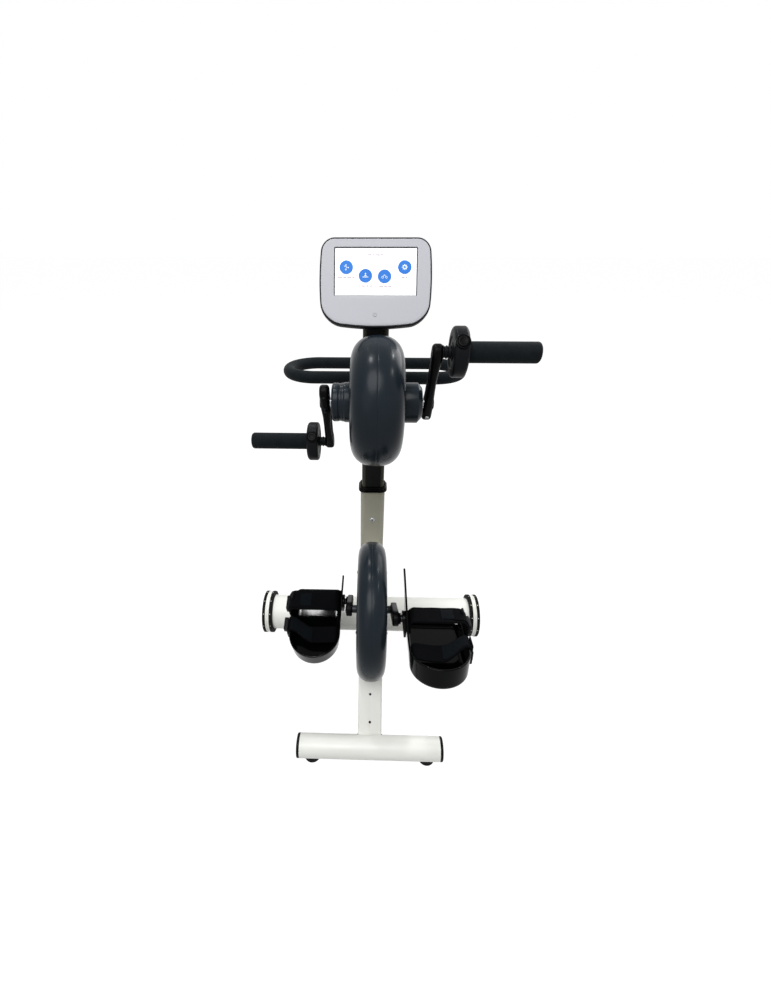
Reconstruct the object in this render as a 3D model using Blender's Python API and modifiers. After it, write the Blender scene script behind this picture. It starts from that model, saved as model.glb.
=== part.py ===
"""Active passive trainer: motor-driven arm cranks and leg cranks on one height-adjustable stand.

Metres, +Z up, +X to the user's right, and the user sits on the -Y side. Places along Y are measured
from the stand's own datum, and the trainer empty moves that datum so that the floor print is centred.
"""

import math

import bmesh
import bpy
from mathutils import Vector

for old in list(bpy.data.objects):
    bpy.data.objects.remove(old)

# Clearances
SEAT = 0.0003
RUNNING = 0.0005
DATUM_Y = -0.0068

# Front bar and its feet
BAR_Y = -0.301
BAR_R = 0.026
BAR_WALL = 0.002
BAR_LENGTH = 0.316
BAR_CAP = 0.006
CAP_SPIGOT = 0.014
FOOT_HEIGHT = 0.012
FOOT_R = 0.019
FOOT_TAPER = 0.003
FOOT_EDGE = 0.002
FOOT_SPACING = 0.262
BAR_Z = FOOT_HEIGHT + BAR_R

# Rear tube, its axle and the two rollers
REAR_Y = 0.098
ROLLER_R = 0.061
ROLLER_WIDTH = 0.0275
ROLLER_GROOVE = 0.0022
ROLLER_BAND = 0.0074
ROLLER_STEP = 0.0008
GROOVE_HALF = 0.0016
REAR_TUBE_R = 0.050
REAR_TUBE_WALL = 0.003
REAR_TUBE_LENGTH = 0.573
REAR_PLUG = 0.012
AXLE_R = 0.008
AXLE_HEAD = 0.004
REAR_Z = ROLLER_R

# Keel and front strut
KEEL_WIDTH = 0.054
KEEL_HEIGHT = 0.036
KEEL_Z = 0.040
STRUT_WIDTH = 0.054
STRUT_DEPTH = 0.036
STRUT_LEAN = math.radians(59.7)
STRUT_FOOT_ANGLE = math.radians(42)
STRUT_TOP_Z = 0.196
BEAM_EDGE = 0.004

# Column, mast and collar
COLUMN_Y = 0.093
COLUMN_WIDTH = 0.060
COLUMN_DEPTH = 0.044
COLUMN_WALL = 0.0025
COLUMN_EDGE = 0.010
COLUMN_TOP = 0.494
MAST_WIDTH = COLUMN_WIDTH - 2 * COLUMN_WALL - 2 * RUNNING
MAST_DEPTH = COLUMN_DEPTH - 2 * COLUMN_WALL - 2 * RUNNING
MAST_WALL = 0.0025
MAST_BOTTOM = 0.250
MAST_SHOWN = 0.436
MAST_TOP = COLUMN_TOP + MAST_SHOWN
COLLAR_PROUD = 0.0055
COLLAR_STEP = 0.003
COLLAR_LOW = 0.008
COLLAR_HIGH = 0.006
COLLAR_LAP = 0.001
SCREW_DROP = 0.081
SCREW_Z = COLUMN_TOP - SCREW_DROP
SCREW_R = 0.0065
SCREW_HEAD = 0.003

# Lock knob behind the column
KNOB_DROP = 0.032
KNOB_Z = COLUMN_TOP - KNOB_DROP
KNOB_R = 0.024
KNOB_DEPTH = 0.022
KNOB_STEM_R = 0.005
KNOB_STAND = 0.012
KNOB_LOBES = 6
KNOB_WAVE = 0.0025
LOBE_POINTS = 5

# Leg drive
LEG_Y = -0.134
LEG_Z = 0.300
LEG_R = 0.155
LEG_HALF = 0.0315
LEG_RIM = 0.034
LEG_WALL = 0.003
LEG_SHAFT_R = 0.009
LEG_BEARING_R = 0.017
LEG_BOSS = 0.010
BEARING_INSET = 0.001
LEG_PULLEY_R = 0.072
LEG_MOTOR_R = 0.028
LEG_MOTOR_LENGTH = 0.028
LEG_BRACKET_WIDTH = 0.046
LEG_BRACKET_HEIGHT = 0.060
LEG_BRACKET_REACH = 0.026

# Leg cranks and foot shells
LEG_CRANK = 0.074
LEG_CRANK_ANGLE = math.radians(150)
LEG_CRANK_IN = 0.0445
LEG_CRANK_THICK = 0.013
LEG_CRANK_R = 0.0165
PEDAL_ROOT = 0.003
SHAFT_INSET = 0.002
PEDAL_R = 0.008
FOOT_IN = 0.077
FOOT_WIDTH = 0.118
FOOT_HEEL = 0.135
FOOT_TOE = 0.058
FOOT_SOLE = 0.065
FOOT_WALL = 0.004
FOOT_FIN = 0.120
FOOT_LIP = 0.012
STRAP_WIDTH = 0.050
STRAP_THICK = 0.004
STRAP_TOP = 0.014
STRAP_BEND = 0.014

# Arm drive
ARM_X = 0.003
ARM_Y = -0.035
ARM_RISE = 0.263
ARM_Z = COLUMN_TOP + ARM_RISE
ARM_R = 0.126
ARM_HALF = 0.0515
ARM_RIM = 0.052
ARM_WALL = 0.003
ARM_SHAFT_R = 0.010
ARM_BEARING_R = 0.019
HUB_R = 0.039
HUB_LENGTH = 0.036
HUB_WALL = 0.006
HUB_STEP = 0.0015
HUB_BAND = 0.020
HUB_RUN = 0.002
HUB_CHAMFER = 0.005
ARM_PULLEY_R = 0.046
ARM_MOTOR_R = 0.030
ARM_MOTOR_LENGTH = 0.046

# Arm cranks and grips
ARM_CRANK = 0.132
ARM_CRANK_ANGLE = math.radians(121.4)
ARM_CRANK_GAP = 0.004
ARM_CRANK_THICK = 0.019
ARM_CRANK_TAIL = 0.028
ARM_CRANK_R = 0.015
ARM_CRANK_TIP_R = 0.014
ARM_CRANK_EDGE = 0.002
SPINDLE_R = 0.011
SPINDLE_PIN_R = 0.007
SPINDLE_NECK = 0.013
NECK_ROOT = 0.004
PIN_ROOT = 0.006
FLANGE_R = 0.0425
FLANGE_THICK = 0.0255
GRIP_R = 0.018
GRIP_LENGTH = 0.126
BUTTON_R = 0.0095
BUTTON_TRAVEL = 0.003
BUTTON_PROUD = 0.003
BUTTON_LENGTH = 0.010

# Belts and motor pulleys
PULLEY_WIDTH = 0.012
PULLEY_LIP = 0.0015
MOTOR_PULLEY_R = 0.012
MOTOR_SHAFT_R = 0.004
BELT_THICK = 0.002

# Drive layout
LEG_PULLEY_X = 0.010
ARM_PULLEY_X = 0.022
ARM_BOSS = 0.010
MOTOR_STUB = 0.003
MOTOR_EDGE = 0.002
BELT_WIDTH = 0.008

# Foot shell form
FOOT_CUP = 0.050
FOOT_TURN = 0.010
FOOT_PITCH = {"left": math.radians(22), "right": math.radians(-8)}
FIN_Y = 0.004
FIN_HALF = 0.046
FIN_LEAN = 0.08
WALL_FLARE = 0.03
BOSS_R = 0.017
FOOT_BOSS = 0.010
PEDAL_COLLAR_R = 0.0125
PEDAL_COLLAR = 0.005
STRAP_Y = -0.005
STRAP_LOW = -0.015
STRAP_OUT_LOW = -0.040
STRAP_TAB = 0.010
TAB_HEIGHT = 0.030
TAB_WIDTH = 0.8 * STRAP_WIDTH
TAB_OUT = 0.003
TAB_EDGE = 0.002
TAB_LOW = 0.012
HEEL_STRAP_THICK = 0.007
HEEL_STRAP_LENGTH = 0.040
HEEL_STRAP_HEIGHT = 0.032
HEEL_STRAP_Y = -0.0545
HEEL_STRAP_EDGE = 0.003

# Grip form
FLANGE_EDGE = 0.004
GRIP_ROUND = 0.006
GRIP_END = 0.010
BUTTON_ANGLE = math.radians(145)

# Mains inlet
INLET_WIDTH = 0.032
INLET_DEPTH = 0.018
INLET_HEIGHT = 0.026
INLET_RIM = 0.003
INLET_Z = 0.165
INLET_EDGE = 0.002

# Ring handlebar
RING_DROP = 0.012
RING_Z = ARM_Z - RING_DROP
RING_NEAR_Y = 0.192
RING_DEPTH = 0.146
RING_WIDTH = 0.466
RING_R = 0.015
RING_BRACKET_WIDTH = 0.044
RING_BRACKET_HEIGHT = 0.024

# Display
DISPLAY_X = -0.003
DISPLAY_Y = 0.023
DISPLAY_RISE = 0.037
DISPLAY_Z = MAST_TOP + DISPLAY_RISE
DISPLAY_LEAN = math.radians(26.3)
DISPLAY_HALF_WIDTH = 0.1045
DISPLAY_HALF_HEIGHT = 0.0815
DISPLAY_TOP_CORNER = 0.024
DISPLAY_LOW_CORNER = 0.036
DISPLAY_TAPER = 0.004
DISPLAY_CROWN = 0.0035
DISPLAY_EDGE = 0.003
DISPLAY_CHIN = 0.006
CASE_DEPTH = 0.016
HUMP_DEPTH = 0.014
BEZEL_THICK = 0.004
SCREEN_WIDTH = 0.154
SCREEN_HEIGHT = 0.087
SCREEN_UP = 0.0203
SCREEN_THICK = 0.003
SCREEN_EDGE = 0.0008
KEY_R = 0.0035
KEY_DOWN = 0.058
KEY_TRAVEL = 0.001
TILT_BACK = 0.014
TILT_PIN_R = 0.004
TILT_LUG_R = 0.012
TILT_LUG_WIDTH = 0.030
TILT_EAR = 0.006
NECK_CAP = 0.008
NECK_EDGE = 0.002
HUMP_WIDTH = 0.130
HUMP_HEIGHT = 0.084
HUMP_EDGE = 0.006
KEY_PROUD = 0.0006
WELD = 0.002

ROUND = 24
FINE = 32
SMALL = 20
CHAMFER = 0.001
TUBE_STEPS = 32
ACROSS = (math.pi / 2, 0, math.pi / 2)
TO_RIGHT = (0, math.pi / 2, 0)
TO_LEFT = (0, -math.pi / 2, 0)
SIDES = (("left", -1), ("right", 1))

model = bpy.data.collections.new("active_passive_trainer")
helpers = bpy.data.collections.new("cutters")
bpy.context.scene.collection.children.link(model)
bpy.context.scene.collection.children.link(helpers)
pivots = {}


def material(name, colour, roughness, metallic=0.0):
    """A Principled finish from an sRGB colour."""
    made = bpy.data.materials.new(name)
    made.use_nodes = True
    shader = made.node_tree.nodes["Principled BSDF"]
    linear = [(c / 255) ** 2.2 for c in colour]
    shader.inputs["Base Color"].default_value = (*linear, 1)
    shader.inputs["Roughness"].default_value = roughness
    shader.inputs["Metallic"].default_value = metallic
    return made


WHITE_PAINT = material("white_paint", (228, 228, 222), 0.35)
SHELL = material("slate_shell", (52, 60, 67), 0.3)
BLACK = material("black_plastic", (18, 19, 21), 0.4)
GLOSS = material("gloss_black", (10, 10, 12), 0.12)
FOAM = material("grip_foam", (27, 32, 35), 0.8)
RUBBER = material("black_rubber", (20, 20, 20), 0.85)
STEEL = material("steel", (150, 152, 155), 0.3, 1.0)
MAST_PAINT = material("mast_paint", (34, 36, 34), 0.35)
SILVER = material("silver_plastic", (196, 197, 202), 0.4)
SCREEN = material("screen_glass", (240, 243, 247), 0.1)
WEBBING = material("webbing", (14, 15, 17), 0.9)
MOTOR = material("motor_case", (120, 122, 124), 0.4, 0.8)


def put(piece, carrier, at, turn=(0, 0, 0), finish=None):
    """Places a piece by its point in the stand's frame, as a child of its body's empty."""
    piece.parent = carrier
    piece.location = Vector(at) - pivots[carrier.name]
    piece.rotation_euler = turn
    if finish:
        piece.data.materials.clear()
        piece.data.materials.append(finish)
    return piece


def linked(name, mesh):
    made = bpy.data.objects.new(name, mesh)
    model.objects.link(made)
    return made


def as_cutter(piece):
    """A helper: never rendered, drawn as wire, and kept in its own collection."""
    model.objects.unlink(piece)
    helpers.objects.link(piece)
    piece.hide_render = True
    piece.display_type = "WIRE"
    return piece


def smooth(mesh):
    """Round faces shaded smooth, and true corners kept sharp."""
    mesh.shade_smooth()
    mesh.set_sharp_from_angle(angle=math.radians(35))


def turned(name, profile, ring=False, steps=ROUND):
    """A profile of (radius, height) points, outer side top to bottom, turned about local Z."""
    mesh = bpy.data.meshes.new(name)
    count = len(profile)
    edges = [(i, i + 1) for i in range(count - 1)]
    if ring:
        edges.append((count - 1, 0))
    mesh.from_pydata([(r, 0, h) for r, h in profile], edges, [])
    made = linked(name, mesh)
    screw = made.modifiers.new("turn", "SCREW")
    screw.axis = "Z"
    screw.steps = steps
    screw.render_steps = steps
    screw.use_merge_vertices = True
    screw.merge_threshold = 0.00005
    screw.use_smooth_shade = True
    return made


def rod(name, radius, low, high, chamfer=0.0, steps=ROUND):
    """A solid round bar on local Z from low to high, with chamfered ends."""
    profile = [(0, high), (radius - chamfer, high), (radius, high - chamfer)]
    profile += [(radius, low + chamfer), (radius - chamfer, low), (0, low)]
    if not chamfer:
        profile = [(0, high), (radius, high), (radius, low), (0, low)]
    return turned(name, profile, steps=steps)


def washer(name, inner, outer, low, high, steps=ROUND):
    """A ring of rectangular section on local Z."""
    profile = [(inner, high), (outer, high), (outer, low), (inner, low)]
    return turned(name, profile, ring=True, steps=steps)


def block(name, size, edge=0.0, segments=2):
    """A box about its own centre, with rounded edges."""
    shape = bmesh.new()
    bmesh.ops.create_cube(shape, size=1.0)
    bmesh.ops.scale(shape, vec=size, verts=shape.verts)
    mesh = bpy.data.meshes.new(name)
    shape.to_mesh(mesh)
    shape.free()
    made = linked(name, mesh)
    if edge:
        bevel = made.modifiers.new("edges", "BEVEL")
        bevel.width = edge
        bevel.segments = segments
    return made


def arc(centre, radius, start, end, count):
    """Points on a circle from one angle to another, in degrees."""
    angles = [math.radians(start + (end - start) * i / (count - 1)) for i in range(count)]
    return [(centre[0] + radius * math.cos(a), centre[1] + radius * math.sin(a)) for a in angles]


def meshed(curve):
    """The curve object as a welded mesh object at the same place."""
    graph = bpy.context.evaluated_depsgraph_get()
    mesh = bpy.data.meshes.new_from_object(curve.evaluated_get(graph))
    shape = bmesh.new()
    shape.from_mesh(mesh)
    bmesh.ops.remove_doubles(shape, verts=shape.verts, dist=0.00001)
    bmesh.ops.recalc_face_normals(shape, faces=shape.faces)
    shape.to_mesh(mesh)
    shape.free()
    smooth(mesh)
    made = linked(curve.name + "_mesh", mesh)
    made.matrix_world = curve.matrix_world
    name = curve.name
    bpy.data.objects.remove(curve)
    made.name = name
    return made


def plate(name, outlines, thickness):
    """Flat outlines, the first one solid and the others holes, with thickness about local Z."""
    data = bpy.data.curves.new(name, "CURVE")
    data.dimensions = "2D"
    data.fill_mode = "BOTH"
    data.extrude = thickness / 2
    for outline in outlines:
        spline = data.splines.new("POLY")
        spline.points.add(len(outline) - 1)
        for point, (x, y) in zip(spline.points, outline):
            point.co = (x, y, 0, 1)
        spline.use_cyclic_u = True
    return meshed(linked(name, data))


def pipe(name, points, radius, cyclic=False, resolution=4):
    """A round tube along points."""
    data = bpy.data.curves.new(name, "CURVE")
    data.dimensions = "3D"
    data.bevel_depth = radius
    data.bevel_resolution = resolution
    data.use_fill_caps = not cyclic
    spline = data.splines.new("POLY")
    spline.points.add(len(points) - 1)
    for point, place in zip(spline.points, points):
        point.co = (*place, 1)
    spline.use_cyclic_u = cyclic
    return meshed(linked(name, data))


def boolean(piece, tool, operation):
    step = piece.modifiers.new(operation.lower() + "_" + tool.name, "BOOLEAN")
    step.operation = operation
    step.solver = "EXACT"
    step.object = tool
    return piece


def cut(piece, *tools):
    for tool in tools:
        boolean(piece, tool, "DIFFERENCE")
    return piece


def join(piece, *tools):
    for tool in tools:
        boolean(piece, as_cutter(tool), "UNION")
    return piece


def box_tube(name, width, depth, wall, height, edge):
    """An upright rectangular tube with rounded corners, open at both ends, centred on local Z."""
    outer = rounded_rectangle(width, depth, edge)
    inner = rounded_rectangle(width - 2 * wall, depth - 2 * wall, max(edge - wall, wall))
    return plate(name, [outer, inner], height)


def rounded_rectangle(width, height, radius, count=4):
    """The outline of a rectangle with round corners, anticlockwise."""
    x = width / 2 - radius
    y = height / 2 - radius
    points = arc((x, y), radius, 0, 90, count)
    points += arc((-x, y), radius, 90, 180, count)
    points += arc((-x, -y), radius, 180, 270, count)
    points += arc((x, -y), radius, 270, 360, count)
    return points


def dome(reach, half, rim, count):
    """The crowned rim of a disc housing, from side face to seam: a quarter of a superellipse."""
    points = []
    for i in range(count):
        turn = math.pi / 2 * (1 - i / (count - 1))
        along = math.sin(turn) ** 0.85
        out = math.cos(turn) ** 0.85
        points.append((reach - rim + rim * out, half * along))
    return points


def half_housing(name, reach, half, rim, wall, bore, boss):
    """One shell of a disc housing: crowned wall, open at the seam, with a bearing boss inside."""
    seam = SEAT / 2
    outer = dome(reach, half, rim, 6)
    inner = dome(reach - wall, half - wall, rim - wall, 4)
    outer[-1] = (reach, seam)
    inner[-1] = (reach - wall, seam)
    profile = [(bore, half)] + outer + inner[::-1]
    end = half - wall - boss
    profile += [(bore + wall, half - wall), (bore + wall, end), (bore, end)]
    return turned(name, profile, ring=True, steps=FINE)


def belt_loop(name, near, far, near_r, far_r, thickness, width):
    """A flat belt round two pulleys, whose chords stay clear of both rims."""
    gap = far - near
    lean = math.degrees(math.asin((near_r - far_r) / gap))
    outlines = []
    for grow in (SEAT + thickness, SEAT):
        near_step = math.radians(180 + 2 * lean) / 18
        far_step = math.radians(180 - 2 * lean) / 6
        points = arc((near, 0), (near_r + grow) / math.cos(near_step / 2), 90 - lean, 270 + lean, 19)
        points += arc((far, 0), (far_r + grow) / math.cos(far_step / 2), -90 + lean, 90 - lean, 7)
        outlines.append(points)
    return plate(name, outlines, width)


def pulley(name, radius, bore, width):
    """A flat-belt pulley with two low flanges and a bore."""
    half = width / 2
    floor = half - PULLEY_LIP
    edge = radius + PULLEY_LIP
    profile = [(bore, half), (edge, half), (edge, floor), (radius, floor)]
    profile += [(radius, -floor), (edge, -floor), (edge, -half), (bore, -half)]
    return turned(name, profile, ring=True)


def pivot(name, at, parent=None):
    """An empty on a joint's axis, which carries the pieces of one moving body."""
    made = bpy.data.objects.new(name, None)
    model.objects.link(made)
    made.parent = parent
    made.location = Vector(at) - (pivots[parent.name] if parent else Vector((0, -DATUM_Y, 0)))
    pivots[name] = Vector(at)
    return made


def turned_by(points, angle):
    """Flat points turned about the origin."""
    c = math.cos(angle)
    s = math.sin(angle)
    return [(x * c - y * s, x * s + y * c) for x, y in points]


def lean_point(foot, length, across):
    """A point on the leaning strut: length up its front face, across behind that face."""
    c = math.cos(STRUT_LEAN)
    s = math.sin(STRUT_LEAN)
    return (foot[0] + length * c + across * s, foot[1] + length * s - across * c)


def bar_cylinder(name, radius, y, z):
    """A cutter with a cross tube's outside, so that what butts on the tube is coped to it."""
    tool = rod(name, radius + SEAT, -0.2, 0.2, steps=TUBE_STEPS)
    return as_cutter(put(tool, stand, (0, y, z), TO_RIGHT))


def cutting_block(name, size, at, turn=(0, 0, 0)):
    return as_cutter(put(block(name, size), stand, at, turn))


def front_bar():
    """The front cross tube with its end caps and two rubber feet."""
    tube = washer("front_bar", BAR_R - BAR_WALL, BAR_R, -BAR_LENGTH / 2, BAR_LENGTH / 2, TUBE_STEPS)
    put(tube, stand, (0, BAR_Y, BAR_Z), TO_RIGHT, WHITE_PAINT)
    spigot = BAR_R - BAR_WALL - SEAT
    round_off = BAR_CAP / 2
    profile = [(0, BAR_CAP), (BAR_R - round_off, BAR_CAP), (BAR_R, BAR_CAP - round_off), (BAR_R, 0)]
    profile += [(spigot, 0), (spigot, -CAP_SPIGOT), (0, -CAP_SPIGOT)]
    pad = [(0, BAR_Z), (FOOT_R - FOOT_TAPER, BAR_Z), (FOOT_R, FOOT_HEIGHT / 2), (FOOT_R - FOOT_EDGE, 0)]
    for side, sign in SIDES:
        cap = turned("front_cap_" + side, profile)
        at = (sign * (BAR_LENGTH / 2 + SEAT), BAR_Y, BAR_Z)
        put(cap, stand, at, TO_RIGHT if sign > 0 else TO_LEFT, BLACK)
        foot = turned("front_foot_" + side, pad + [(0, 0)], steps=FINE)
        put(foot, stand, (sign * FOOT_SPACING / 2, BAR_Y, 0), finish=RUBBER)
        cut(foot, bar_cylinder("foot_seat_" + side, BAR_R, BAR_Y, BAR_Z))


def frame_beams():
    """The keel along the floor, and the strut that rises from the front bar into the leg housing."""
    seat_front = bar_cylinder("front_cope", BAR_R, BAR_Y, BAR_Z)
    seat_rear = bar_cylinder("rear_cope", REAR_TUBE_R, REAR_Y, REAR_Z)
    keel = block("keel_beam", (KEEL_WIDTH, REAR_Y - BAR_Y, KEEL_HEIGHT), BEAM_EDGE)
    put(keel, stand, (0, (REAR_Y + BAR_Y) / 2, KEEL_Z), finish=WHITE_PAINT)
    cut(keel, seat_front, seat_rear)
    strut = block("front_strut", (STRUT_WIDTH, STRUT_DEPTH, strut_length()), BEAM_EDGE)
    put(strut, stand, strut_centre(), (STRUT_LEAN - math.pi / 2, 0, 0), WHITE_PAINT)
    top = KEEL_Z + KEEL_HEIGHT / 2 + SEAT
    ground = cutting_block("keel_top", (0.2, 0.4, top + 0.1), (0, BAR_Y, (top - 0.1) / 2))
    cut(strut, ground, seat_front)


def strut_foot():
    """Where the strut's front face starts: on the front bar's upper back quarter."""
    return (BAR_Y + BAR_R * math.cos(STRUT_FOOT_ANGLE), BAR_Z + BAR_R * math.sin(STRUT_FOOT_ANGLE))


def strut_length():
    return (STRUT_TOP_Z - strut_foot()[1]) / math.sin(STRUT_LEAN) + STRUT_DEPTH


def strut_centre():
    y, z = lean_point(strut_foot(), strut_length() / 2 - STRUT_DEPTH, STRUT_DEPTH / 2)
    return (0, y, z)


def rear_tube():
    """The rear cross tube, closed by end discs that hold the axle of the two rollers."""
    half = REAR_TUBE_LENGTH / 2
    bore = AXLE_R + SEAT
    room = half - REAR_PLUG
    inner = REAR_TUBE_R - REAR_TUBE_WALL
    axis = (0, REAR_Y, REAR_Z)
    profile = [(bore, half), (REAR_TUBE_R, half), (REAR_TUBE_R, -half), (bore, -half)]
    profile += [(bore, -room), (inner, -room), (inner, room), (bore, room)]
    put(turned("rear_tube", profile, ring=True, steps=TUBE_STEPS), stand, axis, TO_RIGHT, WHITE_PAINT)
    reach = half + RUNNING + ROLLER_WIDTH - AXLE_HEAD
    put(rod("rear_axle", AXLE_R, -reach, reach), stand, axis, TO_RIGHT, STEEL)


def roller(side, sign):
    """A transport roller: white body with a centre groove between two proud bands."""
    at = (sign * (REAR_TUBE_LENGTH / 2 + RUNNING + ROLLER_WIDTH / 2), REAR_Y, REAR_Z)
    carrier = pivot("rear_roller_%s_pivot" % side, at, stand)
    half = ROLLER_WIDTH / 2
    tread = half - ROLLER_BAND
    body = ROLLER_R - ROLLER_STEP
    bore = AXLE_R + RUNNING
    outer = [(bore, half), (ROLLER_R, half), (ROLLER_R, tread), (body, tread)]
    outer += [(body, GROOVE_HALF), (body - ROLLER_GROOVE, 0)]
    profile = outer + [(r, -h) for r, h in outer[-2::-1]]
    wheel = turned("rear_roller_" + side, profile, ring=True, steps=28)
    put(wheel, carrier, at, TO_RIGHT, WHITE_PAINT)


def column():
    """The outer column, coped onto the rear tube, with its front screw and the collar on its top."""
    height = COLUMN_TOP - REAR_Z
    tube = box_tube("outer_column", COLUMN_WIDTH, COLUMN_DEPTH, COLUMN_WALL, height, COLUMN_EDGE)
    put(tube, stand, (0, COLUMN_Y, (REAR_Z + COLUMN_TOP) / 2), finish=WHITE_PAINT)
    knob_hole = rod("knob_hole", KNOB_STEM_R + RUNNING, -0.01, 0.01)
    as_cutter(put(knob_hole, stand, (0, COLUMN_Y + COLUMN_DEPTH / 2, KNOB_Z), (math.pi / 2, 0, 0)))
    cut(tube, bar_cylinder("column_cope", REAR_TUBE_R, REAR_Y, REAR_Z), knob_hole)
    crown = [(0, SCREW_HEAD), (SCREW_R * 0.6, SCREW_HEAD * 0.8), (SCREW_R, SCREW_HEAD / 6)]
    crown += [(SCREW_R, -COLUMN_WALL / 2), (0, -COLUMN_WALL / 2)]
    head = turned("column_screw", crown, steps=16)
    join(tube, put(head, stand, (0, COLUMN_Y - COLUMN_DEPTH / 2, SCREW_Z), (math.pi / 2, 0, 0)))
    wide = COLUMN_WIDTH + 2 * COLLAR_PROUD
    deep = COLUMN_DEPTH + 2 * COLLAR_PROUD
    edge = COLUMN_EDGE + COLLAR_PROUD
    low = plate("column_collar", [rounded_rectangle(wide, deep, edge)], COLLAR_LOW)
    put(low, stand, (0, COLUMN_Y, COLUMN_TOP + SEAT + COLLAR_LOW / 2), finish=BLACK)
    step = 2 * COLLAR_STEP
    outline = rounded_rectangle(wide - step, deep - step, edge - COLLAR_STEP)
    high = plate("collar_upper", [outline], COLLAR_HIGH)
    high_z = COLUMN_TOP + COLLAR_LOW + COLLAR_HIGH / 2 - COLLAR_LAP
    join(low, put(high, stand, (0, COLUMN_Y, high_z)))
    wide = MAST_WIDTH + 2 * RUNNING
    deep = MAST_DEPTH + 2 * RUNNING
    opening = rounded_rectangle(wide, deep, COLUMN_EDGE - COLUMN_WALL)
    cut(low, as_cutter(put(plate("collar_bore", [opening], 0.1), stand, (0, COLUMN_Y, COLUMN_TOP))))


def power_inlet():
    """The mains inlet on the back of the column, near the floor."""
    depth = INLET_DEPTH
    at = (0, COLUMN_Y + COLUMN_DEPTH / 2 + SEAT + depth / 2, INLET_Z)
    body = block("power_inlet", (INLET_WIDTH, depth, INLET_HEIGHT), INLET_EDGE)
    put(body, stand, at, finish=BLACK)
    mouth = (INLET_WIDTH - 2 * INLET_RIM, depth, INLET_HEIGHT - 2 * INLET_RIM)
    cut(body, cutting_block("inlet_mouth", mouth, (0, at[1] + INLET_RIM, INLET_Z)))


def lock_knob():
    """The lobed clamp knob, whose stem passes the column's back wall and stops at the mast."""
    tip = COLUMN_Y + MAST_DEPTH / 2 + SEAT
    back = COLUMN_Y + COLUMN_DEPTH / 2 + KNOB_STAND
    carrier = pivot("mast_lock_knob_pivot", (0, tip, KNOB_Z), stand)
    outline = []
    count = KNOB_LOBES * LOBE_POINTS
    for i in range(count):
        turn = 2 * math.pi * i / count
        reach = KNOB_R - KNOB_WAVE + KNOB_WAVE * math.cos(KNOB_LOBES * turn)
        outline.append((reach * math.cos(turn), reach * math.sin(turn)))
    head = plate("mast_lock_knob", [outline], KNOB_DEPTH)
    put(head, carrier, (0, back + KNOB_DEPTH / 2, KNOB_Z), (-math.pi / 2, 0, 0), BLACK)
    stem = rod("knob_stem", KNOB_STEM_R, 0, back + KNOB_DEPTH / 2 - tip)
    join(head, put(stem, carrier, (0, tip, KNOB_Z), (-math.pi / 2, 0, 0)))


def drive_motor(name, at, radius, low, high, carrier):
    """A round gear motor lying across, with a low boss round its shaft."""
    boss = radius * 0.4
    edge = radius - MOTOR_EDGE
    face = high - MOTOR_EDGE
    profile = [(0, high), (boss, high), (boss, face), (edge, face)]
    profile += [(radius, face - MOTOR_EDGE), (radius, low + MOTOR_EDGE), (edge, low), (0, low)]
    put(turned(name, profile), carrier, at, TO_RIGHT, MOTOR)


def motor_pulley(name, at, face, near, carrier):
    """The small pulley on the motor's shaft: a stub from the motor's face, then the flanged rim."""
    lip = PULLEY_LIP
    far = near + PULLEY_WIDTH
    rim = MOTOR_PULLEY_R
    profile = [(0, far), (rim + lip, far), (rim + lip, far - lip), (rim, far - lip), (rim, near + lip)]
    profile += [(rim + lip, near + lip), (rim + lip, near), (MOTOR_SHAFT_R, near)]
    profile += [(MOTOR_SHAFT_R, face + RUNNING), (0, face + RUNNING)]
    put(turned(name, profile, steps=16), carrier, at, TO_RIGHT, STEEL)


def leg_drive():
    """The leg unit's housing and what it holds: bearings, shaft, pulleys, belt and motor."""
    axis = (0, LEG_Y, LEG_Z)
    front = LEG_Y + LEG_R - LEG_BRACKET_REACH
    back = COLUMN_Y - COLUMN_DEPTH / 2 - SEAT
    bracket_size = (LEG_BRACKET_WIDTH, back - front, LEG_BRACKET_HEIGHT)
    bracket_at = (0, (front + back) / 2, LEG_Z)
    put(block("leg_bracket", bracket_size, BEAM_EDGE), stand, bracket_at, finish=WHITE_PAINT)
    strut_slot = cutting_block(
        "strut_slot",
        (STRUT_WIDTH + 2 * SEAT, STRUT_DEPTH + 2 * SEAT, strut_length() + 2 * SEAT),
        strut_centre(),
        (STRUT_LEAN - math.pi / 2, 0, 0),
    )
    bracket_slot = cutting_block("bracket_slot", tuple(v + 2 * SEAT for v in bracket_size), bracket_at)
    bore = LEG_BEARING_R + SEAT
    low = LEG_HALF - LEG_WALL - LEG_BOSS
    high = LEG_HALF - BEARING_INSET
    for side, sign in SIDES:
        direction = TO_RIGHT if sign > 0 else TO_LEFT
        shell = half_housing("leg_housing_" + side, LEG_R, LEG_HALF, LEG_RIM, LEG_WALL, bore, LEG_BOSS)
        put(shell, stand, axis, direction, SHELL)
        cut(shell, strut_slot, bracket_slot)
        bearing = washer("leg_bearing_" + side, LEG_SHAFT_R + SEAT, LEG_BEARING_R, low, high, SMALL)
        put(bearing, stand, axis, direction, STEEL)
    motor_at = (0, front - SEAT - LEG_MOTOR_R, LEG_Z)
    pulley_near = LEG_PULLEY_X - PULLEY_WIDTH / 2
    motor_face = pulley_near - MOTOR_STUB
    drive_motor("leg_motor", motor_at, LEG_MOTOR_R, motor_face - LEG_MOTOR_LENGTH, motor_face, stand)
    spin = pivot("leg_motor_pivot", motor_at, stand)
    motor_pulley("leg_motor_pulley", motor_at, motor_face, pulley_near, spin)
    gap = motor_at[1] - LEG_Y
    belt = belt_loop("leg_belt", 0, gap, LEG_PULLEY_R, MOTOR_PULLEY_R, BELT_THICK, BELT_WIDTH)
    put(belt, stand, (LEG_PULLEY_X, LEG_Y, LEG_Z), ACROSS, RUBBER)


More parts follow.
